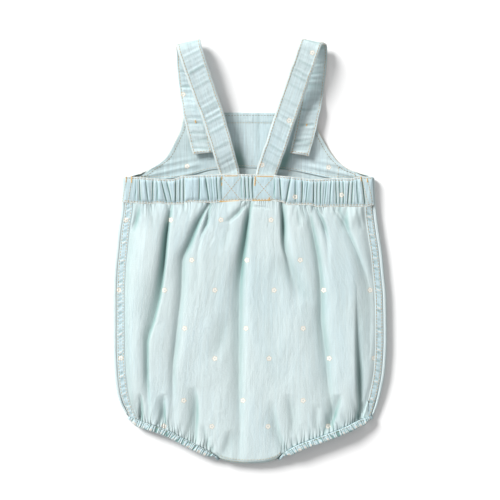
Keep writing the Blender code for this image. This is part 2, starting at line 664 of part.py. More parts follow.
def build_leg_casing(side):
    """A flattened ring: gathered over the leg opening, flat under it, with a turn at each end."""
    line, along, out = casing_line(side)
    last = len(line) - 1
    turn = np.linspace(90.0, -90.0, CASING_TURN_STEPS + 2)[1:-1]
    under = np.linspace(last, 0, CASING_UNDER_STEPS + 1).round().astype(int)
    over = np.arange(last + 1)
    place = np.concatenate([over, np.full(len(turn), last), under, np.zeros(len(turn), int)])
    angle = np.concatenate([np.full(last + 1, 90.0), turn, np.full(len(under), -90.0), -turn])
    level = np.sin(np.radians(angle))
    forward = np.cos(np.radians(angle)) * np.where(place == 0, -1.0, 1.0)
    face = np.column_stack([along[place] * forward[:, None], level])
    low = CASING_UNDER_WALL / 2
    radius = (CASING_OVER_Z - low) / 2
    middle = np.column_stack([line[place], np.full(len(place), low + radius)]) + radius * face
    sideways = np.column_stack([out[place], np.zeros(len(place))])
    high = (1 + level) / 2
    wall = CASING_UNDER_WALL + (CASING_OVER_WALL - CASING_UNDER_WALL) * high
    wave = over / CASING_WAVE_STEPS
    gather = np.zeros(len(place))
    uneven = 1 + CASING_UNEVEN * np.sin(CASING_UNEVEN_TURN * wave)
    gather[:last + 1] = CASING_WAVE * np.abs(np.sin(math.pi * wave)) * uneven
    points = []
    for across, through, puff in CASING_SECTION:
        lift = through * wall / 2 * (1 + CASING_CROWN * puff * high) + puff * gather
        width = across * (CASING_WIDTH / 2 + puff * gather * CASING_SPREAD)
        points.append(middle + sideways * width[:, None] + face * lift[:, None])
    closed_ring("leg_casing_" + side, np.stack(points, axis=1), "denim_shade")


def main():
    """Make each piece of the garment."""
    build_front_panel()
    build_bib_facing()
    build_back_panel()
    build_side_seams()
    build_back_waistband()
    for side in ("left", "right"):
        build_strap(side)
        build_button(side)
        build_leg_casing(side)


for old in list(bpy.data.objects):
    bpy.data.objects.remove(old)
garment = bpy.data.collections.new("baby_bodysuit")
bpy.context.scene.collection.children.link(garment)
main()
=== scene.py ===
"""The looks of a baby's bubble romper in washed denim, laid flat with its back up.

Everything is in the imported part's frame: metres, +X to the right, +Y towards the shoulders, +Z up from
the surface it lies on. Sizes in the tables are millimetres in that frame.
"""

import math

import bpy
import numpy as np
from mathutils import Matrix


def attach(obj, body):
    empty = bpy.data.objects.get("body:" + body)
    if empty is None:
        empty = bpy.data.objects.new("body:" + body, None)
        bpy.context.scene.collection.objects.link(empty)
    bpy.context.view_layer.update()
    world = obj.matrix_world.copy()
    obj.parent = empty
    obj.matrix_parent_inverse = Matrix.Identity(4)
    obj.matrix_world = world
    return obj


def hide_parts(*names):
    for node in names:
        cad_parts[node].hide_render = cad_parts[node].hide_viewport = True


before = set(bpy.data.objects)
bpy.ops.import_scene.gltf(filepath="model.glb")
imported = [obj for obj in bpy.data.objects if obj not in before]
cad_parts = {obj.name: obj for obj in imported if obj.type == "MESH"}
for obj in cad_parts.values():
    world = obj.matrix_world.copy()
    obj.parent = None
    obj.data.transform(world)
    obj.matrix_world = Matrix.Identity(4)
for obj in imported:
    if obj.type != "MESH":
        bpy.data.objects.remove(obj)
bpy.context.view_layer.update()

MM = 0.001

# Cloth walls, as in the solids, and the gaps of sewn pieces, which are closer here
PANEL_WALL = 1.2
SKIN_WALL = 1.0
STRAP_WALL = 1.8
SEAM_GAP = 0.3
BODY_GAP = 0.1
STRIP_GAP = 0.06
SIDE_SEAM_GAP = 0.15

# The front panel's grid, and the side turn that curls up to the seams
FRONT_ROWS = 130
FRONT_HALF_COLUMNS = 34
CURL_COLUMNS = 22
CURL_REACH = 8.0
CURL_TOP = 56.0
CURL_FULL = 3.9
SEAM_INSET = CURL_REACH * (1 - math.cos(math.radians(CURL_TOP)))
SEAM_LIFT = 1 + math.sin(math.radians(CURL_TOP))

# The front panel: y, left x, right x, curl height
OUTLINE = (
    (140, -67, 67, 0), (124, -70, 68.5, 0), (109, -77, 76, 0), (94, -86, 86, 0),
    (83, -102, 99.5, 0), (77.5, -115, 118, 2.2), (74, -127.5, 124.5, 3.9), (60, -128, 125, 4),
    (42, -129, 126.5, 4), (22, -132, 129, 4.2), (2, -134, 132, 4.4), (-18, -136, 134, 4.5),
    (-48, -137, 136.5, 4.5), (-88, -137, 137, 4.5), (-118, -136, 135.5, 4.2), (-138, -134, 132, 3.8),
    (-150, -131, 129, 3.4), (-163, -124.5, 124.5, 3.2),
)
BIB_TOP_Y = 140.0
BODY_TOP_Y = 48.0
LEG_END_Y = -163.0
LEG_SHAPING_Y = -110.0

# The lower edge of the front and of the back: x, y
LOWER_EDGE = (
    (-124.5, -163), (-112, -168), (-83.4, -177.5), (-63.5, -187.5), (-51.2, -193.5),
    (-41, -198.5), (-35.5, -202), (-29, -208), (-17, -211), (-3, -212),
    (13, -211.3), (26, -208), (33, -201.5), (38.5, -197.5), (45, -193.8),
    (56.7, -189), (73.6, -183), (96.5, -174), (108, -168.5), (124.5, -163),
)
CROTCH_LEFT = (-37.5, -29.0)
CROTCH_RIGHT = (26.0, 35.0)

# The back panel: share of the way down, height of its crown, depth of its folds
BACK_CROWN = (
    (0.00, 12.3, 1.7), (0.05, 13.9, 4.4), (0.12, 14.8, 7), (0.25, 16.4, 8), (0.40, 16.8, 8.2),
    (0.60, 16.8, 8.2), (0.75, 16, 7.8), (0.86, 14.2, 6.6), (0.93, 12.8, 5), (1.00, 10.6, 2),
)
SIDE_FLAT = 4.0
SIDE_RISE = 30.0
TOP_STEEPER = 15.0
CROTCH_ROLL = 3.4
CROTCH_END = 3.6
BAND_BEND = 4
LOWEST_CLOTH = 3.4
# The nine folds at each of these heights: x, share of the row's depth, reach to its left and right
FOLD_HEIGHTS = (46.0, 30.0, 12.0, -10.0, -40.0, -66.0, -93.0, -120.0, -148.0)
FOLDS = (
    dict(x=(-79, -81.5, -83.5, -85.5, -89.5, -95.5, -102.5, -102.5, -101),
         depth=(0.7, 0.9, 1, 0.95, 0.8, 0.65, 0.62, 0.6, 0.3),
         left=(3, 3.2, 3.8, 4.5, 7.5, 9, 6, 5, 5), right=(1.3,) * 9),
    dict(x=(-42, -51, -58.5, -67.5, -68.5, -71.5, -74.5, -77, -77),
         depth=(0.9, 0.8, 0.65, 0.5, 0.45, 0.42, 0.4, 0.35, 0.15),
         left=(3.4, 4, 4.8, 5, 5, 5, 4, 4, 4), right=(1.6, 2.2, 3.4, 5, 6, 5, 4, 3, 3)),
    dict(x=(-40.5, -42.5, -49.5, -52, -52, -52, -52, -52, -52),
         depth=(0.9, 0.7, 0.2, 0.1, 0, 0, 0, 0, 0),
         left=(2.5,) * 9, right=(0.9,) * 9),
    dict(x=(0.5, -2, -4.5, -8, -10.5, -11, -11, -11, -10),
         depth=(0.85, 0.95, 0.88, 0.78, 0.62, 0.54, 0.52, 0.48, 0.42),
         left=(3, 3.5, 4.5, 6, 9, 11, 13, 9, 8), right=(1.3, 1.5, 2, 3, 4.6, 5.5, 5.5, 5, 5)),
    dict(x=(32, 32.5, 33, 38, 45, 48, 50, 50, 50),
         depth=(1.1, 1, 0.6, 0.35, 0.15, 0, 0, 0, 0),
         left=(1.4, 1.4, 1.6, 3, 5, 5, 5, 5, 5), right=(3, 3, 4, 6, 8, 8, 8, 8, 8)),
    dict(x=(57, 61, 64.5, 68, 70.5, 71, 74, 77, 82),
         depth=(0.4, 0.5, 0.55, 0.55, 0.56, 0.58, 0.56, 0.5, 0.42),
         left=(3, 4, 5, 5, 6, 7, 10, 9, 8), right=(1.8, 2.8, 3.8, 4.6, 5.5, 6, 6, 6, 5)),
    dict(x=(66, 73.5, 77, 78, 78, 78, 78, 78, 78),
         depth=(0.6, 0.55, 0.2, 0.05, 0, 0, 0, 0, 0),
         left=(2.5,) * 9, right=(1.5,) * 9),
    dict(x=(84, 94, 102, 111, 119.5, 120.5, 119.5, 119, 118),
         depth=(0.45, 0.44, 0.44, 0.5, 0.54, 0.5, 0.35, 0.1, 0),
         left=(5, 6, 7, 8, 12, 13, 10, 8, 8), right=(2.4, 2.8, 3.4, 4, 5, 5, 5, 5, 5)),
    dict(x=(80, 84, 90, 98, 106.5, 107, 107.5, 108.5, 110),
         depth=(0, 0, 0, 0, 0.08, 0.25, 0.5, 0.9, 1.2),
         left=(1.8,) * 9, right=(5, 5, 5, 5, 5, 5, 6, 6, 5)),
)
FOLD_SHARPNESS = 1.4
SEAM_WIDTH = 8.0
SEAM_STEPS = 8
SEAM_ROWS = 260
SEAM_COLUMNS = 13
SEAM_STITCH_COLUMNS = (2, 10)
SEAM_END_PUFF = 1.1
SEAM_END_REACH = 3.5
CROTCH_STITCHES = (2.2, 4.4)

# Lines that the grid's columns crowd towards, at FOLD_HEIGHTS: most run along a fold
CROWDED = (
    FOLDS[0]["x"][:7] + (-103, -109),
    FOLDS[1]["x"][:7] + (-78, -85.5),
    (-22, -24, -28, -32, -38, -44, -49, -52, -55),
    FOLDS[3]["x"][:7] + (-12, -16),
    (32, 32.5, 33, 36, 38, 40, 40, 38, 36),
    FOLDS[5]["x"][:8] + (83,),
    (72, 78, 86, 95, 104, 106, 107.5, 108.5, 109.5),
    FOLDS[7]["x"],
)
BODY_ROWS = 156
BODY_STEPS = 31
CROWDING = 0.5
# The row whose columns the cloth's streaks run down
CLOTH_ROW = 60

# Creases pressed into the back: three places of each line (top, middle, bottom), the reach
# to its left and right, and its depth (a ridge where it is negative)
CREASES = (
    # x0, y0, x1, y1, x2, y2, left, right, depth
    (-113.5, 48, -113.5, 37, -118.5, 20, 2.6, 2, 2.6),
    (-111.5, 48, -111, 42, -110.5, 35, 1.3, 1, 1.2),
    (-107, 48, -107, 43, -106, 37, 1.6, 1.4, 1),
    (-101, 47, -100.5, 42, -100, 36, 1.6, 1.4, 0.8),
    (-110, -20, -108, -48, -106, -74, 9, 9, 0.7),
    (-62, 22, -58, -12, -54, -60, 9, 7, 0.6),
    (-60, 47, -60.5, 40, -61, 30, 2.4, 1.6, 0.5),
    (-34, 48, -34, 38, -35, 24, 3, 2, 0.6),
    (-3, 49, -11, 40, -22, 29, 3.2, 1.4, 2.2),
    (-21, 34, -22, 20, -27, 2, 5, 3, 0.9),
    (-24, -60, -28, -86, -35, -108, 9, 5, 1.2),
    (-32, 18, -31, -24, -33, -70, 12, 7, 0.6),
    (4, 46.5, 10, 45, 16.5, 43.6, 1.4, 1.4, 0.8),
    (6, 34, 9, -30, 6, -96, 10, 9, 0.6),
    (25, 10, 22, -60, 24, -140, 9, 12, 0.7),
    (36, -4, 45, -26, 62, -50, 9, 6, 1.6),
    (47.5, 46, 49, 37, 50, 24, 2.6, 1.6, 1.3),
    (53, 45, 54.5, 39, 56, 32, 2, 1.4, 0.8),
    (52, 20, 56, -30, 58, -92, 9, 7, 0.7),
    (88, 20, 92, -34, 94, -110, 8, 10, 0.7),
    (87, 46, 93, 35, 98, 20, 2.6, 2, 1.4),
    (95, 44, 96, 36, 97.5, 26, 3, 1.6, 1.2),
    (108, 44, 109.5, 35, 112, 22, 2.6, 1.8, 1),
    (113, 44, 115, 35, 118, 24, 2, 1.4, 1.2),
    (104.5, 10, 105, -70, 104.5, -160, 7, 5, -0.45),
    (-109.5, -141, -109, -157, -110, -173, 2.2, 1.9, 2.6),
    (-85.5, -142, -86.5, -159, -83.5, -178, 5, 1.8, 3),
    (-56, -134, -54, -165, -57.5, -192, 7, 2.4, 3.4),
    (-47, -172, -44, -184, -41, -197, 3, 2, 1.6),
    (-20, -178, -24, -194, -29, -207, 3, 9, 1.5),
    (23, -148, 27, -178, 34, -201, 6, 2, 2),
    (37.5, -142, 42, -164, 43, -184, 4, 6, 1.7),
    (67, -152, 66.5, -166, 66, -181, 3, 1.8, 1.3),
    (89, -142, 84, -163, 76, -182, 6.5, 2, 3),
    (110, -150, 108.5, -163, 102, -172, 2, 5, 2),
    (119, -136, 118, -150, 114, -165, 3, 2, 1.6),
)

# Back waistband
BAND_TOP = (
    (-127, 75.5), (-112, 75), (-97, 73.5), (-80, 72.5), (-66, 76), (-40, 77),
    (-18, 78), (0, 77.5), (20, 77), (32, 76), (50, 74), (64, 72.5),
    (80, 73.5), (100, 73.5), (110, 75.5), (125, 75.5),
)
BAND_BOTTOM = (
    (-127, 49.7), (-100, 48), (-91, 49), (-81, 47.5), (-66, 48), (-60, 50),
    (-41, 49), (-10, 51), (20, 51), (32, 49.5), (38, 47), (59, 47),
    (67, 45), (94, 45.2), (116, 45.2), (125, 47),
)
BAND_UNDER = ((-127.0, 7.4), (-100.0, 8.2), (-50.0, 9.1), (50.0, 9.1), (100.0, 8.2), (125.0, 7.4))
# share of the way down the band: its grid rows, and how full the casing is there
BAND_ROWS = ((0.0, 0.022, 0.045, 0.065, 0.09), (0.13, 0.87, 21), (0.91, 0.935, 0.955, 0.978, 1.0))
BAND_STITCH_ROWS = (3, -4)
BAND_FULLNESS = (
    (0, 0.3), (0.03, 0.5), (0.055, 0.25), (0.1, 0.6), (0.2, 0.95), (0.5, 1), (0.8, 0.95),
    (0.9, 0.6), (0.945, 0.25), (0.97, 0.36), (1, 0.34),
)
BAND_MIDDLE_Y = 60.0
BAND_END_REACH = 0.9
BAND_END_SLANT = 1.4
BAND_END_WALL = 1.0
BAND_THIN = 1.2
BAND_PLAIN = 2.2
BAND_FULL = 3.8
BAND_FULL_PITCH = 7.0
BAND_LEAST_FULL = 0.35
BAND_ROUNDNESS = 0.45
BAND_WIDE_GAP = 9.0
BAND_TUCK = 0.55
# The band's gathers: x at the top edge, x at the bottom edge, depth
GATHERS = (
    (-114, -114.5, 0.5), (-110.5, -109.5, 0.9), (-104.5, -101, 0.6), (-96.7, -97.8, 0.9),
    (-93, -92.6, 0.6), (-89, -82.4, 0.8), (-83.7, -77.9, 0.8), (-74, -74.3, 0.9),
    (-69.6, -69.8, 0.8), (-66, -65.8, 0.9), (-50.5, -51, 0.9), (-44.8, -40.6, 0.8),
    (-39.2, -36.8, 0.5), (-33.5, -32, 0.7), (-29, -28.6, 0.6),
    (-8.6, -8.4, 0.6), (-5.2, -3.9, 0.8), (-1.4, -0.3, 0.8), (2.8, 3, 0.7),
    (24.6, 24, 0.6), (29.4, 31.6, 0.9), (41, 35.4, 0.9), (45.4, 45.6, 0.6),
    (52, 51.5, 0.9), (58.2, 55.4, 0.6), (63.8, 63.6, 0.8), (67.4, 67, 0.8),
    (71, 70.6, 0.8), (76.7, 74.2, 0.5), (81.5, 79.6, 0.6), (85.6, 86.4, 0.8),
    (89.2, 89.8, 0.8), (92.8, 93.4, 0.8), (99.6, 97.4, 0.9), (103.2, 101.4, 0.9),
    (106.6, 108.6, 0.6), (111.4, 115, 0.9),
)
BOXED_SQUARES = ((-28.8, -8.5), (3.0, 24.3))
BOXED_EDGE = 1.0
BOXED_CROSS_Y = (74.8, 51.8)
BOXED_CROSS_INSET = 0.8
BAND_STEPS = 14
# The upright stitch lines near the ends: y, and x of each, at the top and at the bottom
BAND_END_STITCH_Y = (72.5, 48.5)
BAND_END_STITCHES = ((-123.6, -128.0), (-118.2, -122.0), (111.8, 118.2), (117.6, 122.5))
# Bar tacks on the band: x0, y0, x1, y1, width
BAND_BARS = (
    (-123.6, 75.4, -123.8, 69.4, 1), (-118.2, 75.6, -118.4, 69.2, 1.4),
    (110.6, 75.4, 111, 70.6, 1.2), (117, 73.4, 117.3, 69.4, 1.2),
    (-25, 75.8, -12.6, 76, 1), (-30.5, 50.3, -11, 50.9, 1.4),
    (7, 75.6, 23.6, 75.2, 1), (2.4, 51.4, 20.6, 51.6, 1.2),
    (5.4, 75.4, 4.7, 66, 1.4), (-28.3, 75, -28.3, 71.6, 0.9), (-28, 69.4, -28.1, 66.4, 1.1),
    (19.2, 54.6, 19.2, 51.2, 1.2),
)

# Bib facing's lower edge, and the buttons on the other side of the bib
FACING_LOWER_EDGE = (
    (-125, 73.5), (-84, 73), (-63, 76), (-35, 83), (-10, 84.5), (12, 84),
    (40, 82), (75, 75), (86, 73), (125, 73.5),
)
FACING_TOP_HEM = 10.0
FACING_EDGE_COLUMN = 4
# x0, y0, x1, y1 of two short stitch lines at the facing's right end
FACING_END_STITCHES = ((89.0, 86.0, 88.0, 74.0), (105.0, 80.5, 104.5, 75.5))
# Painted shadow beside each strap, where it rises off the bib: x at each of two heights
PAINTED_STRAP_SHADOW_Y = (78.0, 104.0)
PAINTED_STRAP_SHADOWS = ((-10.5, -17.5), (26.5, 35.0))
BUTTON_AT = {"left": (-55.6, 130.3), "right": (55.7, 126.8)}
BUTTON_RADIUS = 7.5
BUTTON_THICK = 2.6
BUTTON_RIM = 1.4
BUTTON_DISH = 0.6
BUTTON_ROUND = 0.65
BUTTON_MIDDLE = 0.4
BIB_RAISED_RADIUS = 13.0
BIB_RAISED_REACH = 31.0

# Straps, from the end that lies on the bib's inside, over the shoulder fold and down to the band:
# x, y, height, width, angle of the cross line
STRAPS = {
    "left": (
        (-47.2, 98.6, 6.8, 19.4, 6), (-49.6, 108, 6.3, 19.8, 9),
        (-52, 119, 6.9, 20.4, 11), (-54.4, 130.3, 7, 21, 11),
        (-56.6, 141.5, 6.9, 21.6, 10), (-58.8, 156, 3.2, 22.4, 8),
        (-60.6, 172, 1.2, 23.2, 7.5), (-61.8, 188, 1.1, 23.8, 9),
        (-62.2, 199, 1.8, 24.2, 11), (-62.1, 206, 4.2, 24.4, 12),
        (-61.6, 209.4, 8.6, 24.5, 12.5), (-60.9, 207.4, 13.4, 24.5, 13),
        (-59.4, 201, 16.2, 24.4, 15), (-56, 190, 16.8, 24.2, 18),
        (-50.2, 173, 16, 23.6, 19.5), (-43.4, 154, 15, 23, 19),
        (-37, 136, 14.2, 22.4, 17.5), (-31.4, 118, 13.6, 21.8, 16.5),
        (-26.4, 100, 12.6, 21.2, 15.5), (-22.9, 88, 9.9, 20.6, 15),
        (-20.6, 79.5, 7.8, 20.2, 13), (-18.6, 66, 7.7, 20, 5),
        (-18.2, 52.5, 7.7, 20, 0),
    ),
    "right": (
        (49.4, 97.4, 6.9, 19.8, -9.5), (51.8, 107, 6.3, 20.2, -10.5),
        (54.2, 116, 6.9, 20.8, -11), (56.6, 127, 7, 21.2, -11.5),
        (59.8, 141.5, 6.9, 21.4, -11), (62.2, 155.5, 3.2, 21.6, -9),
        (64.4, 171, 1.2, 21.8, -7), (66, 187, 1.1, 22, -6),
        (66.8, 198, 1.9, 22, -7), (66.6, 205.6, 4.8, 22, -9),
        (65, 209.6, 10, 22, -10), (61.6, 209, 15.6, 21.8, -11),
        (58.6, 202.4, 18.8, 21.8, -14), (54, 189, 19, 21.8, -18),
        (48.2, 172, 17.6, 21.8, -18.5), (42, 154, 16, 21.8, -18.5),
        (35.8, 136, 14.8, 21.6, -19), (29.8, 118, 13.8, 21.4, -19.5),
        (23.8, 100, 12.6, 21.2, -19), (19.6, 88, 9.9, 21, -18),
        (16.6, 79.5, 7.8, 20.6, -15), (14, 66, 7.7, 20.2, -6),
        (13.5, 52.5, 7.7, 20, 0),
    ),
}
FLOOR_GAP = 0.46
STRAP_ROWS = 440
STRAP_COLUMNS = 25
STRAP_STITCH_AT = 0.80
STRAP_END_HEM = 13.0
STRAP_END_STITCH = 2.0
STRAP_UNDER_LENGTH = 112.0
STRAP_CLOTH_X = {"left": 200, "right": 300}
STRAP_PARTING_Z = 8.5

# Leg casings
CASING_WIDTH = 6.6
CASING_GAP = 0.05
CASING_UNDER_WALL = 1.3
CASING_OVER_WALL = 2.6
CASING_OVER_Z = {"left": 8.6, "right": 11.0}
CASING_RISE = ((0.0, 0.62), (0.08, 0.72), (0.3, 1.0), (0.8, 1.0), (1.0, 0.8))
CASING_OVER_COLUMNS = 11
CASING_UNDER_COLUMNS = 5
CASING_STITCH_COLUMN = 2
CASING_STITCH_AT = -0.68
CASING_WAVE = 0.85
CASING_WAVES = 30
CASING_WAVE_STEPS = 10
CASING_TURN_STEPS = 8
CASING_UNDER_STEPS = 40
CASING_SIDE_END = 118.8
CASING_CROTCH_END = {"left": 33.0, "right": 31.0}
CASING_TAPER = 9.0
CASING_SIDE_TAPER = 7.0

# Printed flowers, row by row: y, then x of each. The hidden front's are a plain repeat.
BACK_FLOWERS = (
    (32, (-79, -29, 21)),
    (-8, (-58, -3, 50)),
    (-38, (-85, -35, 24, 73.5, 120)),
    (-76, (-65, -4, 53)),
    (-106, (-35, 19, 79, 124)),
    (-148, (-66, -7, 53)),
    (-174, (-86, -38, 18, 78)),
)
SEAM_FLOWERS = ((32.0, (-124.0,)), (-38.0, (-131.0,)), (-106.0, (-129.0,)))
BIB_FLOWERS = ((86.0, (-63.0,)), (85.0, (79.0,)))
BAND_FLOWERS = ((55.0, (45.0,)), (57.0, (91.5,)))
STRAP_FLOWERS = {
    "left": ((158, (-67,)),),
    "right": ((198, (62,)), (131, (39,)), (87, (12,))),
}
FRONT_FLOWERS = tuple((float(y), tuple(np.arange(-100.0 + 28 * (n % 2), 101.0, 56.0)))
                      for n, y in enumerate(np.arange(118, -190, -34.5)))
FLOWER_RADIUS = 2.75
FAR_FROM_FLOWERS = 50.0
# Painted shade: how much on steep cloth, and the most anywhere
STEEP_PAINTED_SHADE = 0.32
MOST_PAINTED_SHADE = 0.95
FRILL_PITCH = 0.0031

THREAD_RADIUS = 0.3
FINE_THREAD_RADIUS = 0.22
STITCH_PITCH = 3.0
STITCH_LENGTH = 2.35
STITCH_RINGS = 5
STITCH_SIDES = 6

SIDES = ("left", "right")
SIGN = {"left": -1.0, "right": 1.0}

# Uneven waves: the seed of their phases, and the pitches that are added up. The pieces that are made
# for each side add a seed of their own.
WAVES = {
    "leg gathers": (9, (6.7, 9.1, 12.7)),
    "frill reach": (15, (13, 23, 39)),
    "frill under band": (16, (19, 31, 57)),
    "swell across": (21, (31, 47, 63)),
    "swell down": (22, (37, 59, 83)),
    "front hollows": (31, (23, 37, 53)),
    "facing down": (41, (19, 27, 43)),
    "facing across": (42, (33, 61)),
    "facing hem": (44, (3.1, 4.7, 7.9)),
    "facing shade": (45, (5.3, 9.7, 17)),
    "band bow": (61, (13, 21, 34)),
    "band top": (62, (6, 9, 15)),
    "band bottom": (63, (6, 9, 15)),
    "band tucks": (64, (5.1, 7.7, 13.9)),
    "band tuck depth": (65, (17, 29)),
    "seam puckers": (0, (4.6, 6.1, 8.3)),
    "strap sway": (0, (17, 29, 43)),
    "strap puckers": (1, (5.3, 7.9, 12.9)),
    "strap pucker depth": (2, (41, 67)),
    "casing depth": (0, (1.7, 3.1, 5.3)),
    "casing slip": (1, (1.9, 3.7, 6.1)),
    "casing lean": (2, (4.9, 8.3)),
}
SEAM_SEED = {"left": 51, "right": 52}
STRAP_SEED = {"left": 71, "right": 81}
CASING_SEED = {"left": 91, "right": 95}


# Shapes -------------------------------------------------------------------------------------------


def smooth(stations, values, at):
    """Heights of a smooth curve through each station, which never swings past a station's value."""
    stations = np.asarray(stations, float)
    values = np.asarray(values, float)
    if stations[0] > stations[-1]:
        stations, values = stations[::-1], values[::-1]
    step = np.diff(stations)
    rise = np.diff(values) / step
    slope = np.zeros_like(values)
    product = rise[:-1] * rise[1:]
    total = np.where(product > 0, rise[:-1] + rise[1:], 1.0)
    slope[1:-1] = np.where(product > 0, 2 * product / total, 0.0)
    slope[0], slope[-1] = rise[0], rise[-1]
    at = np.clip(at, stations[0], stations[-1])
    i = np.clip(np.searchsorted(stations, at) - 1, 0, len(step) - 1)
    t = (at - stations[i]) / step[i]
    start = (1 + 2 * t) * (1 - t) ** 2 * values[i] + t * (1 - t) ** 2 * step[i] * slope[i]
    end = t * t * (3 - 2 * t) * values[i + 1] + t * t * (t - 1) * step[i] * slope[i + 1]
    return start + end


def column(table, index):
    """One column of a table."""
    return np.array([row[index] for row in table], float)


def along(table, at):
    """The second column of a table, smooth along its first."""
    return smooth(column(table, 0), column(table, 1), at)


def ease(value, low, high):
    """0 up to low, 1 from high on, and smooth in between."""
    t = np.clip((value - low) / (high - low), 0.0, 1.0)
    return t * t * (3 - 2 * t)


def wave(name, at, more=0):
    """One of WAVES: a sum of sines of its pitches, with phases from its seed and the piece's own."""
    seed, pitches = WAVES[name]
    phases = np.random.default_rng(seed + more).uniform(0, 2 * math.pi, len(pitches))
    waves = [np.sin(2 * math.pi * at / pitch + phase) for pitch, phase in zip(pitches, phases)]
    return sum(waves) / len(waves)


def outline(y):
    """Left edge, right edge and curl height of the front panel at a height."""
    ys = column(OUTLINE, 0)
    return tuple(smooth(ys, column(OUTLINE, i), y) for i in (1, 2, 3))


def bend_row(y, end):
    """A row's height, where the last rows bend from straight to the lower edge."""
    share = np.clip((LEG_SHAPING_Y - y) / (LEG_SHAPING_Y - LEG_END_Y), 0.0, 1.0)
    return np.where(y < LEG_SHAPING_Y, LEG_SHAPING_Y + share * (end - LEG_SHAPING_Y), y)


def crotch_share(x):
    """1 along the rolled crotch edge and 0 along the leg openings."""
    return ease(x, *CROTCH_LEFT) * (1 - ease(x, *CROTCH_RIGHT))


def bib_rise(x, y):
    """How far the bib is lifted by the buttons under it."""
    rise = np.zeros_like(x)
    for place in BUTTON_AT.values():
        far = np.hypot(x - place[0], y - place[1])
        rise = np.maximum(rise, 1 - ease(far, BIB_RAISED_RADIUS, BIB_RAISED_REACH))
    return (BUTTON_THICK + SEAM_GAP) * rise


def unit(vectors):
    """Each vector at length one."""
    return vectors / np.linalg.norm(vectors, axis=-1, keepdims=True)


def normals(points):
    """Unit normals of a grid of points whose columns run to +X and whose rows run to -Y."""
    across = np.gradient(points, axis=1)
    down = np.gradient(points, axis=0)
    normal = np.cross(down, across)
    return normal / np.maximum(np.linalg.norm(normal, axis=2, keepdims=True), 1e-9)


def grid_faces(rows, columns):
    """Quads of a grid of points, facing up where its columns run to +X and its rows to -Y."""
    i, j = np.meshgrid(np.arange(rows - 1), np.arange(columns - 1), indexing="ij")
    first = (i * columns + j).ravel()
    second = first + columns
    return np.column_stack([first, second, second + 1, first + 1])


def ring_faces(rows, columns):
    """Quads of a grid of points that closes on itself both ways."""
    i, j = np.meshgrid(np.arange(rows), np.arange(columns), indexing="ij")
    after, beside = (i + 1) % rows, (j + 1) % columns
    corners = (i * columns + j, after * columns + j, after * columns + beside, i * columns + beside)
    return np.column_stack([corner.ravel() for corner in corners])


def lengths(points, axis):
    """Distance run along the rows or columns of a grid, from its middle."""
    step = np.linalg.norm(np.diff(points, axis=axis), axis=2)
    run = np.cumsum(step, axis=axis)
    run = np.concatenate([np.zeros_like(np.take(run, [0], axis)), run], axis=axis)
    return run - np.take(run, [run.shape[axis] // 2], axis)


def distance(path):
    """Distance run along a line of points, at each of them."""
    return np.concatenate([[0.0], np.cumsum(np.linalg.norm(np.diff(path, axis=0), axis=1))])


def read_at(places, far, values):
    """Three values at places along a line, where far is the distance of each of its points."""
    return np.column_stack([np.interp(places, far, values[:, i]) for i in range(3)])


def in_scene(name, data):
    """A new object in the scene."""
    thing = bpy.data.objects.new(name, data)
    bpy.context.scene.collection.objects.link(thing)
    return thing


def flower_map(corners, faces, rows, seed):
    """Each face corner's place from the middle of the flower nearest to its face, turned by that
    flower's own angle, in millimetres in plan."""
    if not rows:
        return np.full((faces.size, 2), FAR_FROM_FLOWERS)
    places = np.array([(x, y) for y, xs in rows for x in xs], float)
    turn = np.random.default_rng(seed).uniform(0, 2 * math.pi, len(places))
    middle = corners[faces].mean(axis=1)
    gap = np.linalg.norm(middle[:, None, :2] - places[None], axis=2)
    near = gap.argmin(axis=1)
    offset = corners[faces][:, :, :2] - places[near][:, None]
    cos, sin = np.cos(turn[near])[:, None], np.sin(turn[near])[:, None]
    turned = np.stack([offset[..., 0] * cos - offset[..., 1] * sin,
                       offset[..., 0] * sin + offset[..., 1] * cos], axis=-1)
    return turned.reshape(-1, 2)


def new_piece(name, points, faces, finish, cloth=None, worn=None, deep=None, frill=None, flowers=(),
              seed=1):
    """A piece's mesh, given in millimetres, with its cloth coordinates, its wear and painted highlight,
    and its painted shade.
    """
    mesh = bpy.data.meshes.new(name)
    mesh.from_pydata((points * MM).tolist(), [], faces.tolist())
    mesh.update()
    mesh.shade_smooth()
    if cloth is not None:
        place = cloth.reshape(-1, 2)[faces.ravel()] * MM
        for key, uv in (("cloth", place), ("flower", flower_map(points, faces, flowers, seed))):
            mesh.uv_layers.new(name=key).data.foreach_set("uv", uv.astype(np.float32).ravel())
    # Painted shade on steep cloth: the steeper a place, the darker, up to a limit.
    if deep is not None:
        facing = np.empty(len(points) * 3, np.float32)
        mesh.vertex_normals.foreach_get("vector", facing)
        steep = 1 - np.abs(facing.reshape(-1, 3)[:, 2])
        deep = np.clip(deep.ravel() + STEEP_PAINTED_SHADE * ease(steep, 0.04, 0.5), 0, MOST_PAINTED_SHADE)
    for key, values in (("worn", worn), ("deep", deep), ("frill", frill)):
        if values is not None:
            layer = mesh.attributes.new(key, "FLOAT", "POINT")
            layer.data.foreach_set("value", np.ascontiguousarray(values, np.float32).ravel())
    piece = in_scene(name, mesh)
    mesh.materials.append(finish.material)
    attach(piece, "root")
    return piece


def cloth_sheet(name, points, wall, finish, **facts):
    """A cloth panel: the grid is one face and Solidify adds its wall, above the grid if positive."""
    rows, columns, _ = points.shape
    piece = new_piece(name, points.reshape(-1, 3), grid_faces(rows, columns), finish, **facts)
    solid = piece.modifiers.new("Wall", "SOLIDIFY")
    solid.thickness = abs(wall) * MM
    solid.offset = 1.0 if wall > 0 else -1.0
    return piece


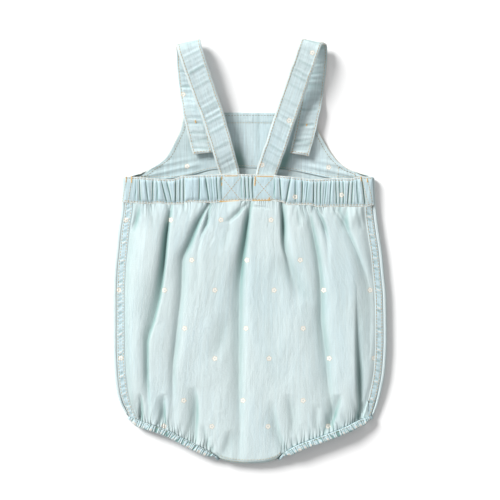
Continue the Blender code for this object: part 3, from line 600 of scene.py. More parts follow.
def closed_wall(name, upper, lower, finish, cloth, worn, deep, **facts):
    """A closed solid between an upper and a lower grid of points, joined round their edges."""
    rows, columns, _ = upper.shape
    size = rows * columns
    top = grid_faces(rows, columns)
    under = top[:, ::-1] + size
    index = np.arange(size).reshape(rows, columns)
    edge = np.concatenate([index[0, :-1], index[:-1, -1], index[-1, :0:-1], index[:0:-1, 0]])
    after = np.roll(edge, -1)
    side = np.column_stack([edge, after, after + size, edge + size])
    points = np.vstack([upper.reshape(-1, 3), lower.reshape(-1, 3)])
    faces = np.vstack([top, under, side])
    twice = [np.concatenate([values.reshape(size, -1)] * 2) for values in (cloth, worn, deep)]
    return new_piece(name, points, faces, finish, twice[0], twice[1], twice[2], **facts)


# Stitches ------------------------------------------------------------------------------------------


def stitch_mesh(starts, ends, ups, radius=THREAD_RADIUS):
    """Stitches from each start to each end: tubes whose middle stands over the cloth and whose ends
    dip into it."""
    t = np.linspace(0, 1, STITCH_RINGS)
    arch = np.sin(math.pi * t)
    run = ends - starts
    direction = unit(run)
    side = unit(np.cross(ups, direction))
    ups = np.cross(direction, side)
    middle = starts[:, None] + run[:, None] * t[None, :, None]
    middle = middle + ups[:, None] * (radius * (1.15 * arch - 0.55))[None, :, None]
    angle = np.linspace(0, 2 * math.pi, STITCH_SIDES, endpoint=False)
    thick = radius * (0.5 + 0.5 * arch)
    ring = side[:, None, None] * np.cos(angle)[None, None, :, None]
    ring = ring + ups[:, None, None] * np.sin(angle)[None, None, :, None]
    points = middle[:, :, None] + ring * thick[None, :, None, None]
    i, j = np.meshgrid(np.arange(STITCH_RINGS - 1), np.arange(STITCH_SIDES), indexing="ij")
    first = (i * STITCH_SIDES + j).ravel()
    second = (i * STITCH_SIDES + (j + 1) % STITCH_SIDES).ravel()
    quads = np.column_stack([first, second, second + STITCH_SIDES, first + STITCH_SIDES])
    start_cap = np.array([(0, 5, 4, 3), (0, 3, 2, 1)])
    end_cap = np.array([(0, 1, 2, 3), (0, 3, 4, 5)]) + (STITCH_RINGS - 1) * STITCH_SIDES
    one = np.vstack([quads, start_cap, end_cap])
    size = STITCH_RINGS * STITCH_SIDES
    faces = (one[None] + (np.arange(len(starts)) * size)[:, None, None]).reshape(-1, 4)
    return points.reshape(-1, 3), faces


def run_of_stitches(path, ups, pitch=STITCH_PITCH, length=STITCH_LENGTH, radius=THREAD_RADIUS):
    """Stitches at an even pitch along a line of points, with the cloth's normal at each."""
    far = distance(path)
    count = max(int((far[-1] - length) / pitch) + 1, 1)
    first = (far[-1] - length - (count - 1) * pitch) / 2 + np.arange(count) * pitch
    starts, ends = read_at(first, far, path), read_at(first + length, far, path)
    return stitch_mesh(starts, ends, read_at(first + length / 2, far, ups), radius)


def bartack(path, ups, width, pitch=0.55, radius=0.34):
    """A bar of close stitches square to a line."""
    far = distance(path)
    places = np.arange(pitch / 2, far[-1], pitch)
    middle, up = read_at(places, far, path), read_at(places, far, ups)
    direction = np.gradient(middle, axis=0)
    across = unit(np.cross(direction, up))
    lean = 0.25 * unit(direction)
    half = across * width / 2
    return stitch_mesh(middle - half - lean, middle + half + lean, up, radius)


def joined(name, runs, finish):
    """One mesh of several runs of stitches."""
    offset = np.cumsum([0] + [len(points) for points, _ in runs[:-1]])
    points = np.vstack([points for points, _ in runs])
    faces = np.vstack([faces + start for (_, faces), start in zip(runs, offset)])
    return new_piece(name, points, faces, finish)


def pressed_on(grid, plan, lift=0.0):
    """Points of a grid's surface under each place in plan, with its normals: the mean of the four
    nearest grid points, weighted by how near they are."""
    flat = grid.reshape(-1, 3)
    up = normals(grid).reshape(-1, 3)
    gap = np.linalg.norm(plan[:, None, :] - flat[None, :, :2], axis=2)
    near = np.argpartition(gap, 4, axis=1)[:, :4]
    weight = 1 / (np.take_along_axis(gap, near, axis=1) + 0.05)
    weight /= weight.sum(axis=1, keepdims=True)
    z = (flat[near, 2] * weight).sum(axis=1)
    normal = unit((up[near] * weight[..., None]).sum(axis=1))
    return np.column_stack([plan, z]) + normal * lift, normal


def segment(x0, y0, x1, y1, spacing=1.0):
    """Evenly spaced places of a straight line in plan."""
    count = max(int(math.hypot(x1 - x0, y1 - y0) / spacing), 2)
    t = np.linspace(0, 1, count)[:, None]
    return np.array([[x0, y0]]) + t * np.array([[x1 - x0, y1 - y0]])


# Finishes -------------------------------------------------------------------------------------------


class Value:
    """One output of a node. Arithmetic on it adds Math nodes, so a formula reads as it is written."""

    def __init__(self, finish, output):
        self.finish = finish
        self.output = output

    def __add__(self, other):
        return self.finish.math("ADD", self, other)

    def __sub__(self, other):
        return self.finish.math("SUBTRACT", self, other)

    def __rsub__(self, other):
        return self.finish.math("SUBTRACT", other, self)

    def __mul__(self, other):
        return self.finish.math("MULTIPLY", self, other)

    def __pow__(self, other):
        return self.finish.math("POWER", self, other)


class Finish:
    """A material: its Principled shader, and the nodes that vary it over a surface."""

    def __init__(self, name, **constants):
        self.material = bpy.data.materials.new(name)
        self.material.use_nodes = True
        self.tree = self.material.node_tree
        self.shader = self.tree.nodes["Principled BSDF"]
        for socket, value in constants.items():
            self.shader.inputs[socket.replace("_", " ")].default_value = value

    def feed(self, socket, value):
        """Give a socket a constant, or link it."""
        if isinstance(value, Value):
            self.tree.links.new(value.output, socket)
        else:
            socket.default_value = value

    def node(self, kind, settings=None, inputs=None, output=0):
        """Add a node: its settings first, then its sockets' values or links."""
        node = self.tree.nodes.new(kind)
        for key, value in (settings or {}).items():
            setattr(node, key, value)
        for key, value in (inputs or {}).items():
            self.feed(node.inputs[key], value)
        return Value(self, node.outputs[output])

    def halves(self, uv_map):
        """A UV map's two coordinates, and the place that they make."""
        place = self.node("ShaderNodeUVMap", {"uv_map": uv_map})
        split = self.node("ShaderNodeSeparateXYZ", None, {0: place}).output.node
        return place, Value(self, split.outputs[0]), Value(self, split.outputs[1])

    def attribute(self, name):
        """A value stored at the mesh's points."""
        return self.node("ShaderNodeAttribute", {"attribute_name": name}, output=2)

    def math(self, operation, first, second=0.0):
        """A Math node."""
        return self.node("ShaderNodeMath", {"operation": operation}, {0: first, 1: second})

    def ramp(self, value, low, high):
        """0 up to low, 1 from high on, and smooth in between."""
        inputs = {"Value": value, "From Min": low, "From Max": high}
        return self.node("ShaderNodeMapRange", {"interpolation_type": "SMOOTHSTEP"}, inputs)

    def mix(self, share, first, second):
        """A mix of two colours."""
        inputs = {0: share, 6: first, 7: second}
        return self.node("ShaderNodeMix", {"data_type": "RGBA"}, inputs, output=2)

    def vector(self, operation, first, second):
        """A Vector Math node."""
        return self.node("ShaderNodeVectorMath", {"operation": operation}, {0: first, 1: second})

    def noise(self, place, scale, detail=2.0, rough=0.5):
        """Noise at a place, scaled along each axis."""
        stretched = self.vector("MULTIPLY", place, scale)
        inputs = {"Vector": stretched, "Scale": 1.0, "Detail": detail, "Roughness": rough}
        return self.node("ShaderNodeTexNoise", None, inputs)

    def bump(self, height, depth, under=None):
        """A Bump node, over another one if given."""
        inputs = {"Height": height, "Distance": depth, "Strength": 1.0}
        if under is not None:
            inputs["Normal"] = under
        return self.node("ShaderNodeBump", None, inputs)

    def shade(self, **sockets):
        """Link what varies to the shader."""
        for socket, value in sockets.items():
            self.feed(self.shader.inputs[socket.replace("_", " ")], value)


# Noises of the denim: scale along the cloth's x and y (per metre), detail, roughness
DENIM_NOISE = {
    "cloud": ((16.0, 11.0, 1.0), 3.0, 0.5),
    "crumple": ((75.0, 26.0, 1.0), 3.0, 0.55),
    "streak": ((420.0, 16.0, 1.0), 3.0, 0.6),
    "slub": ((1500.0, 90.0, 1.0), 2.0, 0.55),
    "weft": ((70.0, 1300.0, 1.0), 2.0, 0.55),
    "yarn": ((780.0, 30.0, 1.0), 2.0, 0.6),
    "sway": ((120.0, 40.0, 1.0), 1.0, 0.5),
    "fray": ((700.0, 700.0, 1.0), 2.0, 0.5),
}
WEAVE_PITCH = 0.00052
THREAD_BUMP = 0.00014
CRUMPLE_BUMP = 0.0014
TUCK_BUMP = 0.0015
PETALS = 5.0
PETAL_NOTCH = 0.28

PALE = (0.635, 0.730, 0.728, 1.0)
WASHED_BLUE = (0.500, 0.665, 0.730, 1.0)
# The colour of painted shade, in folds and hollows and on steep cloth
PAINTED_SHADE_TEAL = (0.190, 0.330, 0.310, 1.0)
# Cream for worn edges and for painted highlights
WEAR_AND_HIGHLIGHT_CREAM = (0.760, 0.725, 0.650, 1.0)
PETAL = (0.900, 0.860, 0.780, 1.0)
PETAL_EDGE = (0.560, 0.470, 0.330, 1.0)


def denim(name, bluer, grain):
    """Washed denim: streaks and slubs along the warp, a fine weave, painted shade in teal in folds and
    hollows, cream on worn edges and as a painted highlight, and printed flowers."""
    cloth = Finish(name, Roughness=0.92, Metallic=0.0, Specular_IOR_Level=0.22, Sheen_Weight=0.12,
                   Sheen_Roughness=0.6)
    place, across, down = cloth.halves("cloth")
    worn, deep, frill = (cloth.attribute(key) for key in ("worn", "deep", "frill"))
    cloud, crumple, streak, slub, weft, yarn, sway, fray = (
        cloth.noise(place, *noise) for noise in DENIM_NOISE.values())
    turns = 2 * math.pi / WEAVE_PITCH
    weave = cloth.math("SINE", across * turns) * cloth.math("SINE", down * turns)
    blue = cloth.ramp(cloud * 0.55 + streak * 0.45, 0.40, 0.68) * 0.32 + bluer
    light = (slub * 0.35 + weft * 0.2 + streak * 0.35 + yarn * 0.6 + weave * 0.03 - 0.75) * grain + 1.0
    colour = cloth.vector("SCALE", cloth.mix(blue, PALE, WASHED_BLUE), (0, 0, 0))
    cloth.feed(colour.output.node.inputs["Scale"], light)
    # Fine tucks drawn as a bump, with painted shade in their valleys; all painted shade is mixed towards
    # teal
    phase = across * (math.pi / FRILL_PITCH) + sway * 9.0
    tuck = frill * (1.0 - cloth.math("ABSOLUTE", cloth.math("SINE", phase))) ** 1.6
    shade = cloth.math("MINIMUM", deep + tuck * MOST_PAINTED_SHADE, MOST_PAINTED_SHADE)
    colour = cloth.mix(shade, colour, PAINTED_SHADE_TEAL)
    # Cream for worn edges and for painted highlights on crowns
    rub_and_highlight = cloth.ramp(worn + (fray - 0.5) * 0.5, 0.35, 0.75)
    colour = cloth.mix(rub_and_highlight * 0.85, colour, WEAR_AND_HIGHLIGHT_CREAM)

    _, right, up = cloth.halves("flower")
    far = cloth.math("SQRT", right * right + up * up)
    wavy = cloth.math("COSINE", cloth.math("ARCTAN2", up, right) * PETALS)
    petals = wavy * PETAL_NOTCH + (FLOWER_RADIUS - PETAL_NOTCH)
    inside = cloth.ramp(petals - far, -0.3, 0.3)
    heart = cloth.ramp(far, 0.6, 1.3)
    petal = cloth.mix(cloth.ramp(petals - far, 0.0, 0.6), PETAL_EDGE, PETAL)
    colour = cloth.mix(inside * (heart * 0.6 + 0.3), colour, petal)
    colour = cloth.mix((1.0 - cloth.ramp(far, 0.4, 0.9)) * 0.4, colour, PETAL_EDGE)

    fine = cloth.bump(weave * 0.5 + slub + weft * 0.6 + yarn * 0.6, THREAD_BUMP)
    soft = cloth.bump(crumple + streak * 0.12, CRUMPLE_BUMP, fine)
    soft = cloth.bump(1.0 - tuck, TUCK_BUMP, soft)
    cloth.shade(Base_Color=colour, Normal=soft, Roughness=light * 0.1 + 0.8)
    return cloth


def thread(name, colour, dark):
    """Sewing thread, a little uneven in colour and finely bumped."""
    sewing = Finish(name, Roughness=0.7, Metallic=0.0, Specular_IOR_Level=0.3)
    place = sewing.node("ShaderNodeTexCoord", None, None, output=3)
    mottle = sewing.noise(place, (900.0, 900.0, 900.0), 2.0)
    fine = sewing.noise(place, (4200.0, 4200.0, 4200.0), 1.0)
    sewing.shade(Base_Color=sewing.mix(sewing.ramp(mottle, 0.35, 0.65), dark, colour),
                 Normal=sewing.bump(fine, 0.00008))
    return sewing


def horn(name):
    """Button resin with a horn's grain."""
    resin = Finish(name, Metallic=0.0, Coat_Weight=0.3, Coat_Roughness=0.2)
    place = resin.node("ShaderNodeTexCoord", None, None, output=3)
    grain = resin.noise(place, (120.0, 620.0, 200.0), 4.0, 0.6)
    cloudy = resin.noise(place, (260.0, 260.0, 260.0), 2.0)
    shades = resin.mix(resin.ramp(grain, 0.35, 0.7), (0.30, 0.20, 0.11, 1), (0.62, 0.50, 0.34, 1))
    resin.shade(Base_Color=shades, Roughness=cloudy * 0.2 + 0.25, Normal=resin.bump(grain, 0.00005))
    return resin


def plain(name, colour, rough):
    """A matt studio surface with a faint grain."""
    surface = Finish(name, Metallic=0.0, Specular_IOR_Level=0.1)
    place = surface.node("ShaderNodeTexCoord", None, None, output=3)
    grain = surface.noise(place, (30.0, 30.0, 30.0), 2.0)
    surface.shade(Base_Color=surface.mix(grain * 0.03, colour, (0.8, 0.8, 0.8, 1)),
                  Roughness=grain * 0.05 + rough)
    return surface


denim_body = denim("washed_denim", 0.08, 0.26)
denim_band = denim("washed_denim_band", 0.58, 0.55)
denim_strap = denim("washed_denim_strap", 0.24, 0.75)
denim_bib = denim("washed_denim_bib", 0.30, 0.85)
tan_thread = thread("tan_thread", (0.62, 0.42, 0.20, 1), (0.42, 0.30, 0.17, 1))
orange_thread = thread("orange_thread", (0.80, 0.54, 0.24, 1), (0.64, 0.40, 0.15, 1))
olive_thread = thread("olive_thread", (0.36, 0.31, 0.20, 1), (0.20, 0.17, 0.11, 1))
ecru_thread = thread("ecru_thread", (0.70, 0.62, 0.48, 1), (0.52, 0.44, 0.32, 1))
button_horn = horn("button_horn")


# Pieces -------------------------------------------------------------------------------------------


def front_grid(heights):
    """The front panel's underside at the given heights: flat, and its sides curled up and over round
    an ellipse."""
    y = heights[:, None]
    left, right, curl = outline(y)
    angle = np.radians(np.linspace(CURL_TOP, -90.0, CURL_COLUMNS))[None, :]
    top = np.clip(angle / math.radians(CURL_TOP), 0.0, 1.0) * math.pi / 2
    turned = np.where(angle > 0, SEAM_INSET * (1 - np.cos(top) ** 0.5),
                      CURL_REACH * (1 - np.cos(angle)))
    level = CURL_REACH * np.linspace(0.0, 1.0, CURL_COLUMNS)[None, :]
    share = np.clip(curl / CURL_FULL, 0.0, 1.0)
    inset = level + share * (turned - level)
    lift = curl * np.where(angle > 0, 1 + (SEAM_LIFT - 1) * np.sin(top) ** 0.5, 1 + np.sin(angle))
    middle = (left + right) / 2
    half = (right - left) / 2 - CURL_REACH
    flat = middle + half * np.linspace(-0.98, 0.98, 2 * FRONT_HALF_COLUMNS + 1)[None, :]
    x = np.hstack([left + inset, flat, (right - inset)[:, ::-1]])
    z = np.hstack([lift, np.zeros_like(flat), lift[:, ::-1]])
    end = along(LOWER_EDGE, x) + (PANEL_WALL + SEAM_GAP) * crotch_share(x)
    y = bend_row(y + np.zeros_like(x), end)
    return np.dstack([x, y, z + bib_rise(x, y)])


def seam_places(y):
    """Where the side seams run: x of each and their height, at a height of the body."""
    left, right, curl = outline(y)
    inset = SEAM_INSET + SIDE_SEAM_GAP
    return left + inset, right - inset, curl * SEAM_LIFT


def crease_depth(x, y):
    """How deep the creases go at each place: for each, a trough across its line, with a reach to
    either side, which fades out towards both ends."""
    depth = np.zeros_like(x)
    for x0, y0, x1, y1, x2, y2, left, right, deep in CREASES:
        t = (y0 - y) / (y0 - y2)
        bend = (y0 - y1) / (y0 - y2)
        line = x0 + (x2 - x0) * t
        sag = (x1 - (x0 + (x2 - x0) * bend)) / (bend * (1 - bend))
        line = line + sag * t * (1 - t)
        slope = (x2 - x0) / (y0 - y2)
        offset = (x - line) / math.sqrt(1 + slope * slope)
        reach = np.where(offset < 0, left, right)
        fade = np.sin(math.pi * np.clip(t, 0, 1)) ** 0.7
        depth += deep * fade * np.exp(-np.abs(offset / reach) ** 1.7)
    return depth


def body_gathers(x, y, top, low):
    """Small gathers: under the waistband, each one below its gather in the band, and longer ones over
    the leg casings. Both are uneven in depth and length."""
    rng = np.random.default_rng(11)
    depth = np.zeros_like(x)
    below = top - y
    for _, x_bottom, deep in GATHERS:
        lean = rng.uniform(-0.3, 0.3)
        reach = rng.uniform(5.0, 18.0)
        wide = rng.uniform(1.0, 1.7)
        offset = (x - x_bottom - lean * below) / (wide + 0.05 * below)
        depth += rng.uniform(0.7, 1.7) * deep * np.exp(-offset ** 2 - np.maximum(below, 0) / reach)
    above = y - low
    leg = 1 - crotch_share(x)
    longer = np.maximum(wave("leg gathers", x + 0.3 * above * np.sign(x)), -0.3)
    depth += leg * 1.5 * longer * np.exp(-np.maximum(above - 2, 0) / 11.0) * ease(above, -1, 4)
    return depth


def frill_share(x, y, top, low):
    """Where the cloth is drawn into fine tucks: over the leg casings and just under the waistband,
    further up in some places than in others."""
    leg = 1 - crotch_share(x)
    reach = 5.0 + 3.5 * wave("frill reach", x)
    over_leg = leg * np.exp(-np.maximum(y - low, 0) / np.maximum(reach, 1.5))
    gathered = ease(wave("frill under band", x), -0.5, 0.4)
    under_band = 0.55 * gathered * np.exp(-np.maximum(top - y, 0) / 5.0)
    return np.maximum(over_leg, under_band)


def back_grid():
    """The back panel's outer face, its cloth coordinates, its painted shade in folds, creases and on
    slopes that face the light, and where its cloth is drawn into fine tucks.

    The height is the crown over each row, brought down to the side seams, less the nine folds, the
    creases and the small gathers; the last rows roll down at the crotch."""
    s = np.linspace(0, 1, BODY_ROWS)
    row = 0.55 * s + 0.45 * (1 - np.cos(math.pi * s)) / 2
    height = BODY_TOP_Y + row * (LEG_END_Y - BODY_TOP_Y)
    lines = np.stack([smooth(FOLD_HEIGHTS, line, height) for line in CROWDED], axis=1)
    left, right, seam = seam_places(height)
    marks = np.column_stack([left + SEAM_WIDTH, lines, right - SEAM_WIDTH])
    strip = SEAM_WIDTH * np.linspace(0, 1, SEAM_STEPS + 1)
    step = np.linspace(0, 1, BODY_STEPS + 1)[:-1]
    step = step - CROWDING * np.sin(2 * math.pi * step) / (2 * math.pi)
    parts = [left[:, None] + strip[:-1]]
    for start, end in zip(marks.T[:-1], marks.T[1:]):
        parts.append(start[:, None] + (end - start)[:, None] * step)
    parts.append(right[:, None] - strip[::-1])
    x = np.hstack(parts)
    crown = smooth(column(BACK_CROWN, 0), column(BACK_CROWN, 1), row)
    deep = smooth(column(BACK_CROWN, 0), column(BACK_CROWN, 2), row)
    near = np.minimum(x - left[:, None], right[:, None] - x)
    reach = (SIDE_RISE - SIDE_FLAT - TOP_STEEPER * (1 - ease(row, 0.0, 0.12)))[:, None]
    rise = np.sin(math.pi / 2 * np.clip((near - SIDE_FLAT) / reach, 0.0, 1.0))
    rise = rise * ease(near, SIDE_FLAT - 4, SIDE_FLAT + 9)
    low = along(LOWER_EDGE, x)
    top = along(BAND_BOTTOM, x) - BODY_GAP
    y = height[:, None] + (top - BODY_TOP_Y) * ((1 - row) ** BAND_BEND)[:, None]
    y = bend_row(y, low)
    fold = np.zeros_like(x)
    for one in FOLDS:
        place, depth, before, after = (smooth(FOLD_HEIGHTS, one[key], height)[:, None]
                                       for key in ("x", "depth", "left", "right"))
        offset = x - place
        valley = np.exp(-np.abs(offset / np.where(offset < 0, before, after)) ** FOLD_SHARPNESS)
        fold += deep[:, None] * depth * valley * rise
    inner = ease(near, SEAM_WIDTH - 1, SEAM_WIDTH + 5.0)
    small = crease_depth(x, y) * inner + body_gathers(x, y, top, low) * inner
    swell = 0.5 * wave("swell across", x + 0.3 * y) * wave("swell down", y)
    z = seam[:, None] + (crown - seam)[:, None] * rise - fold - small + swell * inner
    z = np.maximum(z, LOWEST_CLOTH)
    roll = np.clip((y - low) / CROTCH_ROLL, 0.0, 1.0)
    rolled = CROTCH_END + (z - CROTCH_END) * np.sqrt(1 - (1 - roll) ** 2)
    z = z + crotch_share(x) * (rolled - z)
    flow = np.broadcast_to(x[CLOTH_ROW], x.shape)
    cloth = np.dstack([flow + 0.2 * (x - flow), y])
    # Painted shade: darker in deep folds and creases, more so near the top, a little in every fold, and
    # on slopes that face the light, where it holds back their highlight. Two darker lines run along the
    # crotch hem.
    shade = np.clip((fold - 2.2) / 5.5, 0, 1) * 0.55 + np.clip(small / 3.0, 0, 1) * 0.35
    narrow = (1 + 0.5 * (1 - ease(row, 0.05, 0.45)))[:, None]
    slope = np.gradient(z, axis=1) / np.maximum(np.gradient(x, axis=1), 1e-3)
    shade = shade * narrow + 0.12 * np.clip(fold / 3.0, 0, 1) + 0.3 * ease(slope, 0.12, 0.7)
    above = y - low
    hem = 0.5 * np.exp(-((above - 1.7) / 0.6) ** 2) + 0.4 * np.exp(-((above - 4.4) / 0.7) ** 2)
    shade = shade + crotch_share(x) * hem * (0.25 + 0.75 * ease(np.abs(x + 1.0), 14.0, 24.0))
    return np.dstack([x, y, z]), cloth, np.clip(shade, 0, 0.85), frill_share(x, y, top, low) * inner


def build_front_panel():
    """Front body and bib in one cut, face down."""
    points = front_grid(BIB_TOP_Y + np.linspace(0, 1, FRONT_ROWS) * (LEG_END_Y - BIB_TOP_Y))
    x, y = points[..., 0], points[..., 1]
    hollow = 0.5 + 0.5 * wave("front hollows", x + 0.1 * y)
    flat = ease(np.minimum(x - x[:, :1], x[:, -1:] - x), 16.0, 30.0)
    points[..., 2] += 0.7 * hollow * flat * (1 - ease(y, 60.0, 80.0)) * ease(y, -170.0, -150.0)
    cloth = np.dstack([x, y])
    run = lengths(points, 1)
    edge = np.minimum(run - run[:, :1], run[:, -1:] - run)
    worn = (1 - ease(edge, 0.4, 1.4)) * ease(y, 76.0, 80.0)
    piece = cloth_sheet("front_body", points, PANEL_WALL, denim_body, cloth=cloth, worn=worn,
                        deep=np.zeros_like(worn), flowers=FRONT_FLOWERS, seed=3)
    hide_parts("front_panel")
    return points


def facing_grid():
    """The bib facing's underside: rows from the top edge to its curved lower edge, a seam gap over
    the front panel."""
    u = np.linspace(-1, 1, 141)[None, :]
    v = np.linspace(0, 1, 70)[:, None] ** 0.9
    x = u * 60.0 + 0 * v
    y = BIB_TOP_Y - v * 60.0
    for _ in range(12):
        end = along(FACING_LOWER_EDGE, x[-1:])
        y = BIB_TOP_Y - 0.6 + v * (end - BIB_TOP_Y + 0.6) + 0 * x
        left, right, _ = outline(y)
        inset = 0.6 + 8.5 * (1 - ease(y, 74.0, 84.0))
        middle, half = (left + right) / 2, (right - left) / 2 - inset
        x = 0.5 * x + 0.5 * (middle + half * u)
    wrinkle = 0.3 * wave("facing down", y + 0.35 * x) * wave("facing across", x)
    low = 1 - ease(y, 84.0, 100.0)
    side = ease(np.abs(x), 44.0, 60.0)
    wrinkle = wrinkle + 0.5 * low * side * np.sin(2 * math.pi * (y + 0.22 * np.abs(x)) / 7.5)
    z = PANEL_WALL + SEAM_GAP + bib_rise(x, y) + np.maximum(wrinkle + 0.2, 0)
    return np.dstack([x, y, z])


def build_bib_facing():
    """The inside of the bib, with its hem, armhole stitching and curved lower edge."""
    points = facing_grid()
    x, y = points[..., 0], points[..., 1]
    edge = np.minimum(x - x[:, :1], x[:, -1:] - x)
    top = BIB_TOP_Y - y
    hem = 1 - ease(np.abs(top - FACING_TOP_HEM), 0.2, 1.1)
    points[..., 2] += 0.25 * (1 - ease(top, 9.4, 10.4)) + 0.2 * (1 - ease(edge, 2.2, 3.2))
    points[..., 2] += 0.35 * (1 - ease(top, 9.0, 10.0)) * np.abs(wave("facing hem", x))
    lower = y - y[-1:]
    worn = np.maximum(1 - ease(edge, 0.3, 1.2), 0.8 * (1 - ease(top, 0.2, 0.9)))
    worn = np.maximum(worn, 0.6 * (1 - ease(lower, 0.3, 1.0)))
    # Darker along the hem line and just above the lower edge, in patches towards the top and towards the
    # left end; painted shadow beside each strap, fading upwards
    deep = 0.14 * hem + 0.03 * (1 - ease(np.abs(lower - 2.0), 0.2, 1.2))
    deep = deep + 0.22 * np.clip(wave("facing shade", x), 0, 1) * (1 - ease(top, 10.0, 60.0))
    deep = deep + 0.16 * ease(-x, 35.0, 50.0)
    fade = 1 - ease(y, 92.0, 116.0)
    y0, y1 = PAINTED_STRAP_SHADOW_Y
    for x0, x1 in PAINTED_STRAP_SHADOWS:
        beside = x - x0 - (x1 - x0) * (y - y0) / (y1 - y0)
        deep = deep + 0.9 * ease(beside, -8.0, 0.0) * (1 - ease(beside, 5.0, 12.0)) * fade
    wall = SKIN_WALL * (0.25 + 0.3 * ease(lower, 0.0, 9.0)) * (0.5 + 0.5 * ease(edge, 0.0, 0.8))
    points[..., 2] -= (SEAM_GAP - STRIP_GAP) * (1 - ease(lower, 0.0, 16.0))
    face = points + normals(points) * wall[..., None]
    piece = closed_wall("bib_inside", face, points, denim_bib, np.dstack([x, y]), worn, deep,
                        flowers=BIB_FLOWERS, seed=5)
    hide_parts("bib_facing")
    up = normals(face)
    olive = [run_of_stitches(face[3:, j], up[3:, j])
             for j in (FACING_EDGE_COLUMN, -1 - FACING_EDGE_COLUMN)]
    olive.append(run_of_stitches(face[2, 3:-3], up[2, 3:-3], radius=FINE_THREAD_RADIUS))
    ecru = [run_of_stitches(face[-4, 2:-2], up[-4, 2:-2], radius=FINE_THREAD_RADIUS)]
    for ends in FACING_END_STITCHES:
        ecru.append(run_of_stitches(*pressed_on(face, segment(*ends))))
    row = np.argmin(np.abs(top[:, 70] - FACING_TOP_HEM))
    ecru.append(run_of_stitches(face[row, 4:-4], up[row, 4:-4], radius=0.24))
    joined("stitches_bib_edges", olive, olive_thread)
    joined("stitches_bib_hem", ecru, ecru_thread)


def build_back_panel():
    """The gathered back body."""
    points, cloth, shade, frill = back_grid()
    x, y = points[..., 0], points[..., 1]
    above = y - along(LOWER_EDGE, x)
    worn = 0.45 * crotch_share(x) * (1 - ease(above, 0.3, 1.6))
    piece = cloth_sheet("back_body", points, -PANEL_WALL, denim_body, cloth=cloth, worn=worn,
                        deep=shade, frill=frill, flowers=BACK_FLOWERS, seed=7)
    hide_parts("back_panel")
    hem = x[-1, (x[-1] > CROTCH_LEFT[1] - 3) & (x[-1] < CROTCH_RIGHT[0] + 6)]
    runs = []
    for inset in CROTCH_STITCHES:
        plan = np.column_stack([hem, along(LOWER_EDGE, hem) + inset])
        path, normal = pressed_on(points[-24:], plan, 0.1)
        runs.append(run_of_stitches(path, normal, radius=FINE_THREAD_RADIUS))
    joined("stitches_crotch", runs, ecru_thread)
    return points


def build_side_seams(back):
    """Felled seams on the back panel's edges: two rows of stitching pull the strip into puckers."""
    for side in SIDES:
        strip = back[:, :SEAM_STEPS + 1] if side == "left" else back[:, -SEAM_STEPS - 1:]
        rows = np.arange(len(strip))
        at = np.linspace(0, rows[-1], SEAM_ROWS)
        fine = [np.interp(at, rows, line) for line in strip.reshape(len(strip), -1).T]
        fine = np.stack(fine, axis=1).reshape(SEAM_ROWS, SEAM_STEPS + 1, 3)
        place = np.linspace(0, SEAM_STEPS, SEAM_COLUMNS)
        before = np.minimum(place.astype(int), SEAM_STEPS - 1)
        part = (place - before)[None, :, None]
        fine = fine[:, before] * (1 - part) + fine[:, before + 1] * part
        up = normals(fine)
        run = lengths(fine, 0)
        across = np.linspace(-1, 1, SEAM_COLUMNS)[None, :]
        aside = np.abs(across)
        pucker = wave("seam puckers", run - 1.6 * across * SIGN[side], SEAM_SEED[side])
        between = 1 - ease(aside, 0.35, 0.62)
        groove = 0.25 * np.exp(-((aside - 0.66) / 0.13) ** 2)
        lift = 0.5 + 0.6 * np.clip(pucker + 0.25, 0, 1) * between
        lift = (lift - groove) * (1 - ease(aside, 0.8, 1.0))
        puff = SEAM_END_PUFF * np.exp((run[:1] - run) / SEAM_END_REACH)
        lift = lift + puff * (1 - ease(aside, 0.85, 1.0))
        under = fine + up * STRIP_GAP
        cloth = np.dstack([fine[..., 0], fine[..., 1]])
        # Lighter on the pucker crowns, wear and painted highlight, and worn at the outer edge; painted
        # shade in the pucker hollows, and a little on the strip's outer parts
        worn = 0.75 * between * np.clip(pucker * 1.4 - 0.1, 0, 1)
        worn = np.maximum(worn, 0.7 * ease(aside, 0.88, 1.0) + 0 * run)
        deep = 0.5 * between * np.clip(-pucker * 1.6, 0, 1) + 0.1 * (aside > 0.55)
        upper = under + up * (0.12 + lift[..., None])
        piece = closed_wall("side_seam_strip_" + side, upper, under, denim_band, cloth, worn, deep,
                            flowers=SEAM_FLOWERS if side == "left" else (), seed=9)
        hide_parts("side_seam_" + side)
        up = normals(upper)
        runs = [run_of_stitches(upper[:, c], up[:, c]) for c in SEAM_STITCH_COLUMNS]
        joined("stitches_side_seam_" + side, runs, tan_thread)


def boxed(x):
    """Whether a place along the waistband lies in one of its boxed squares."""
    return any(low - BOXED_EDGE < x < high + BOXED_EDGE for low, high in BOXED_SQUARES)


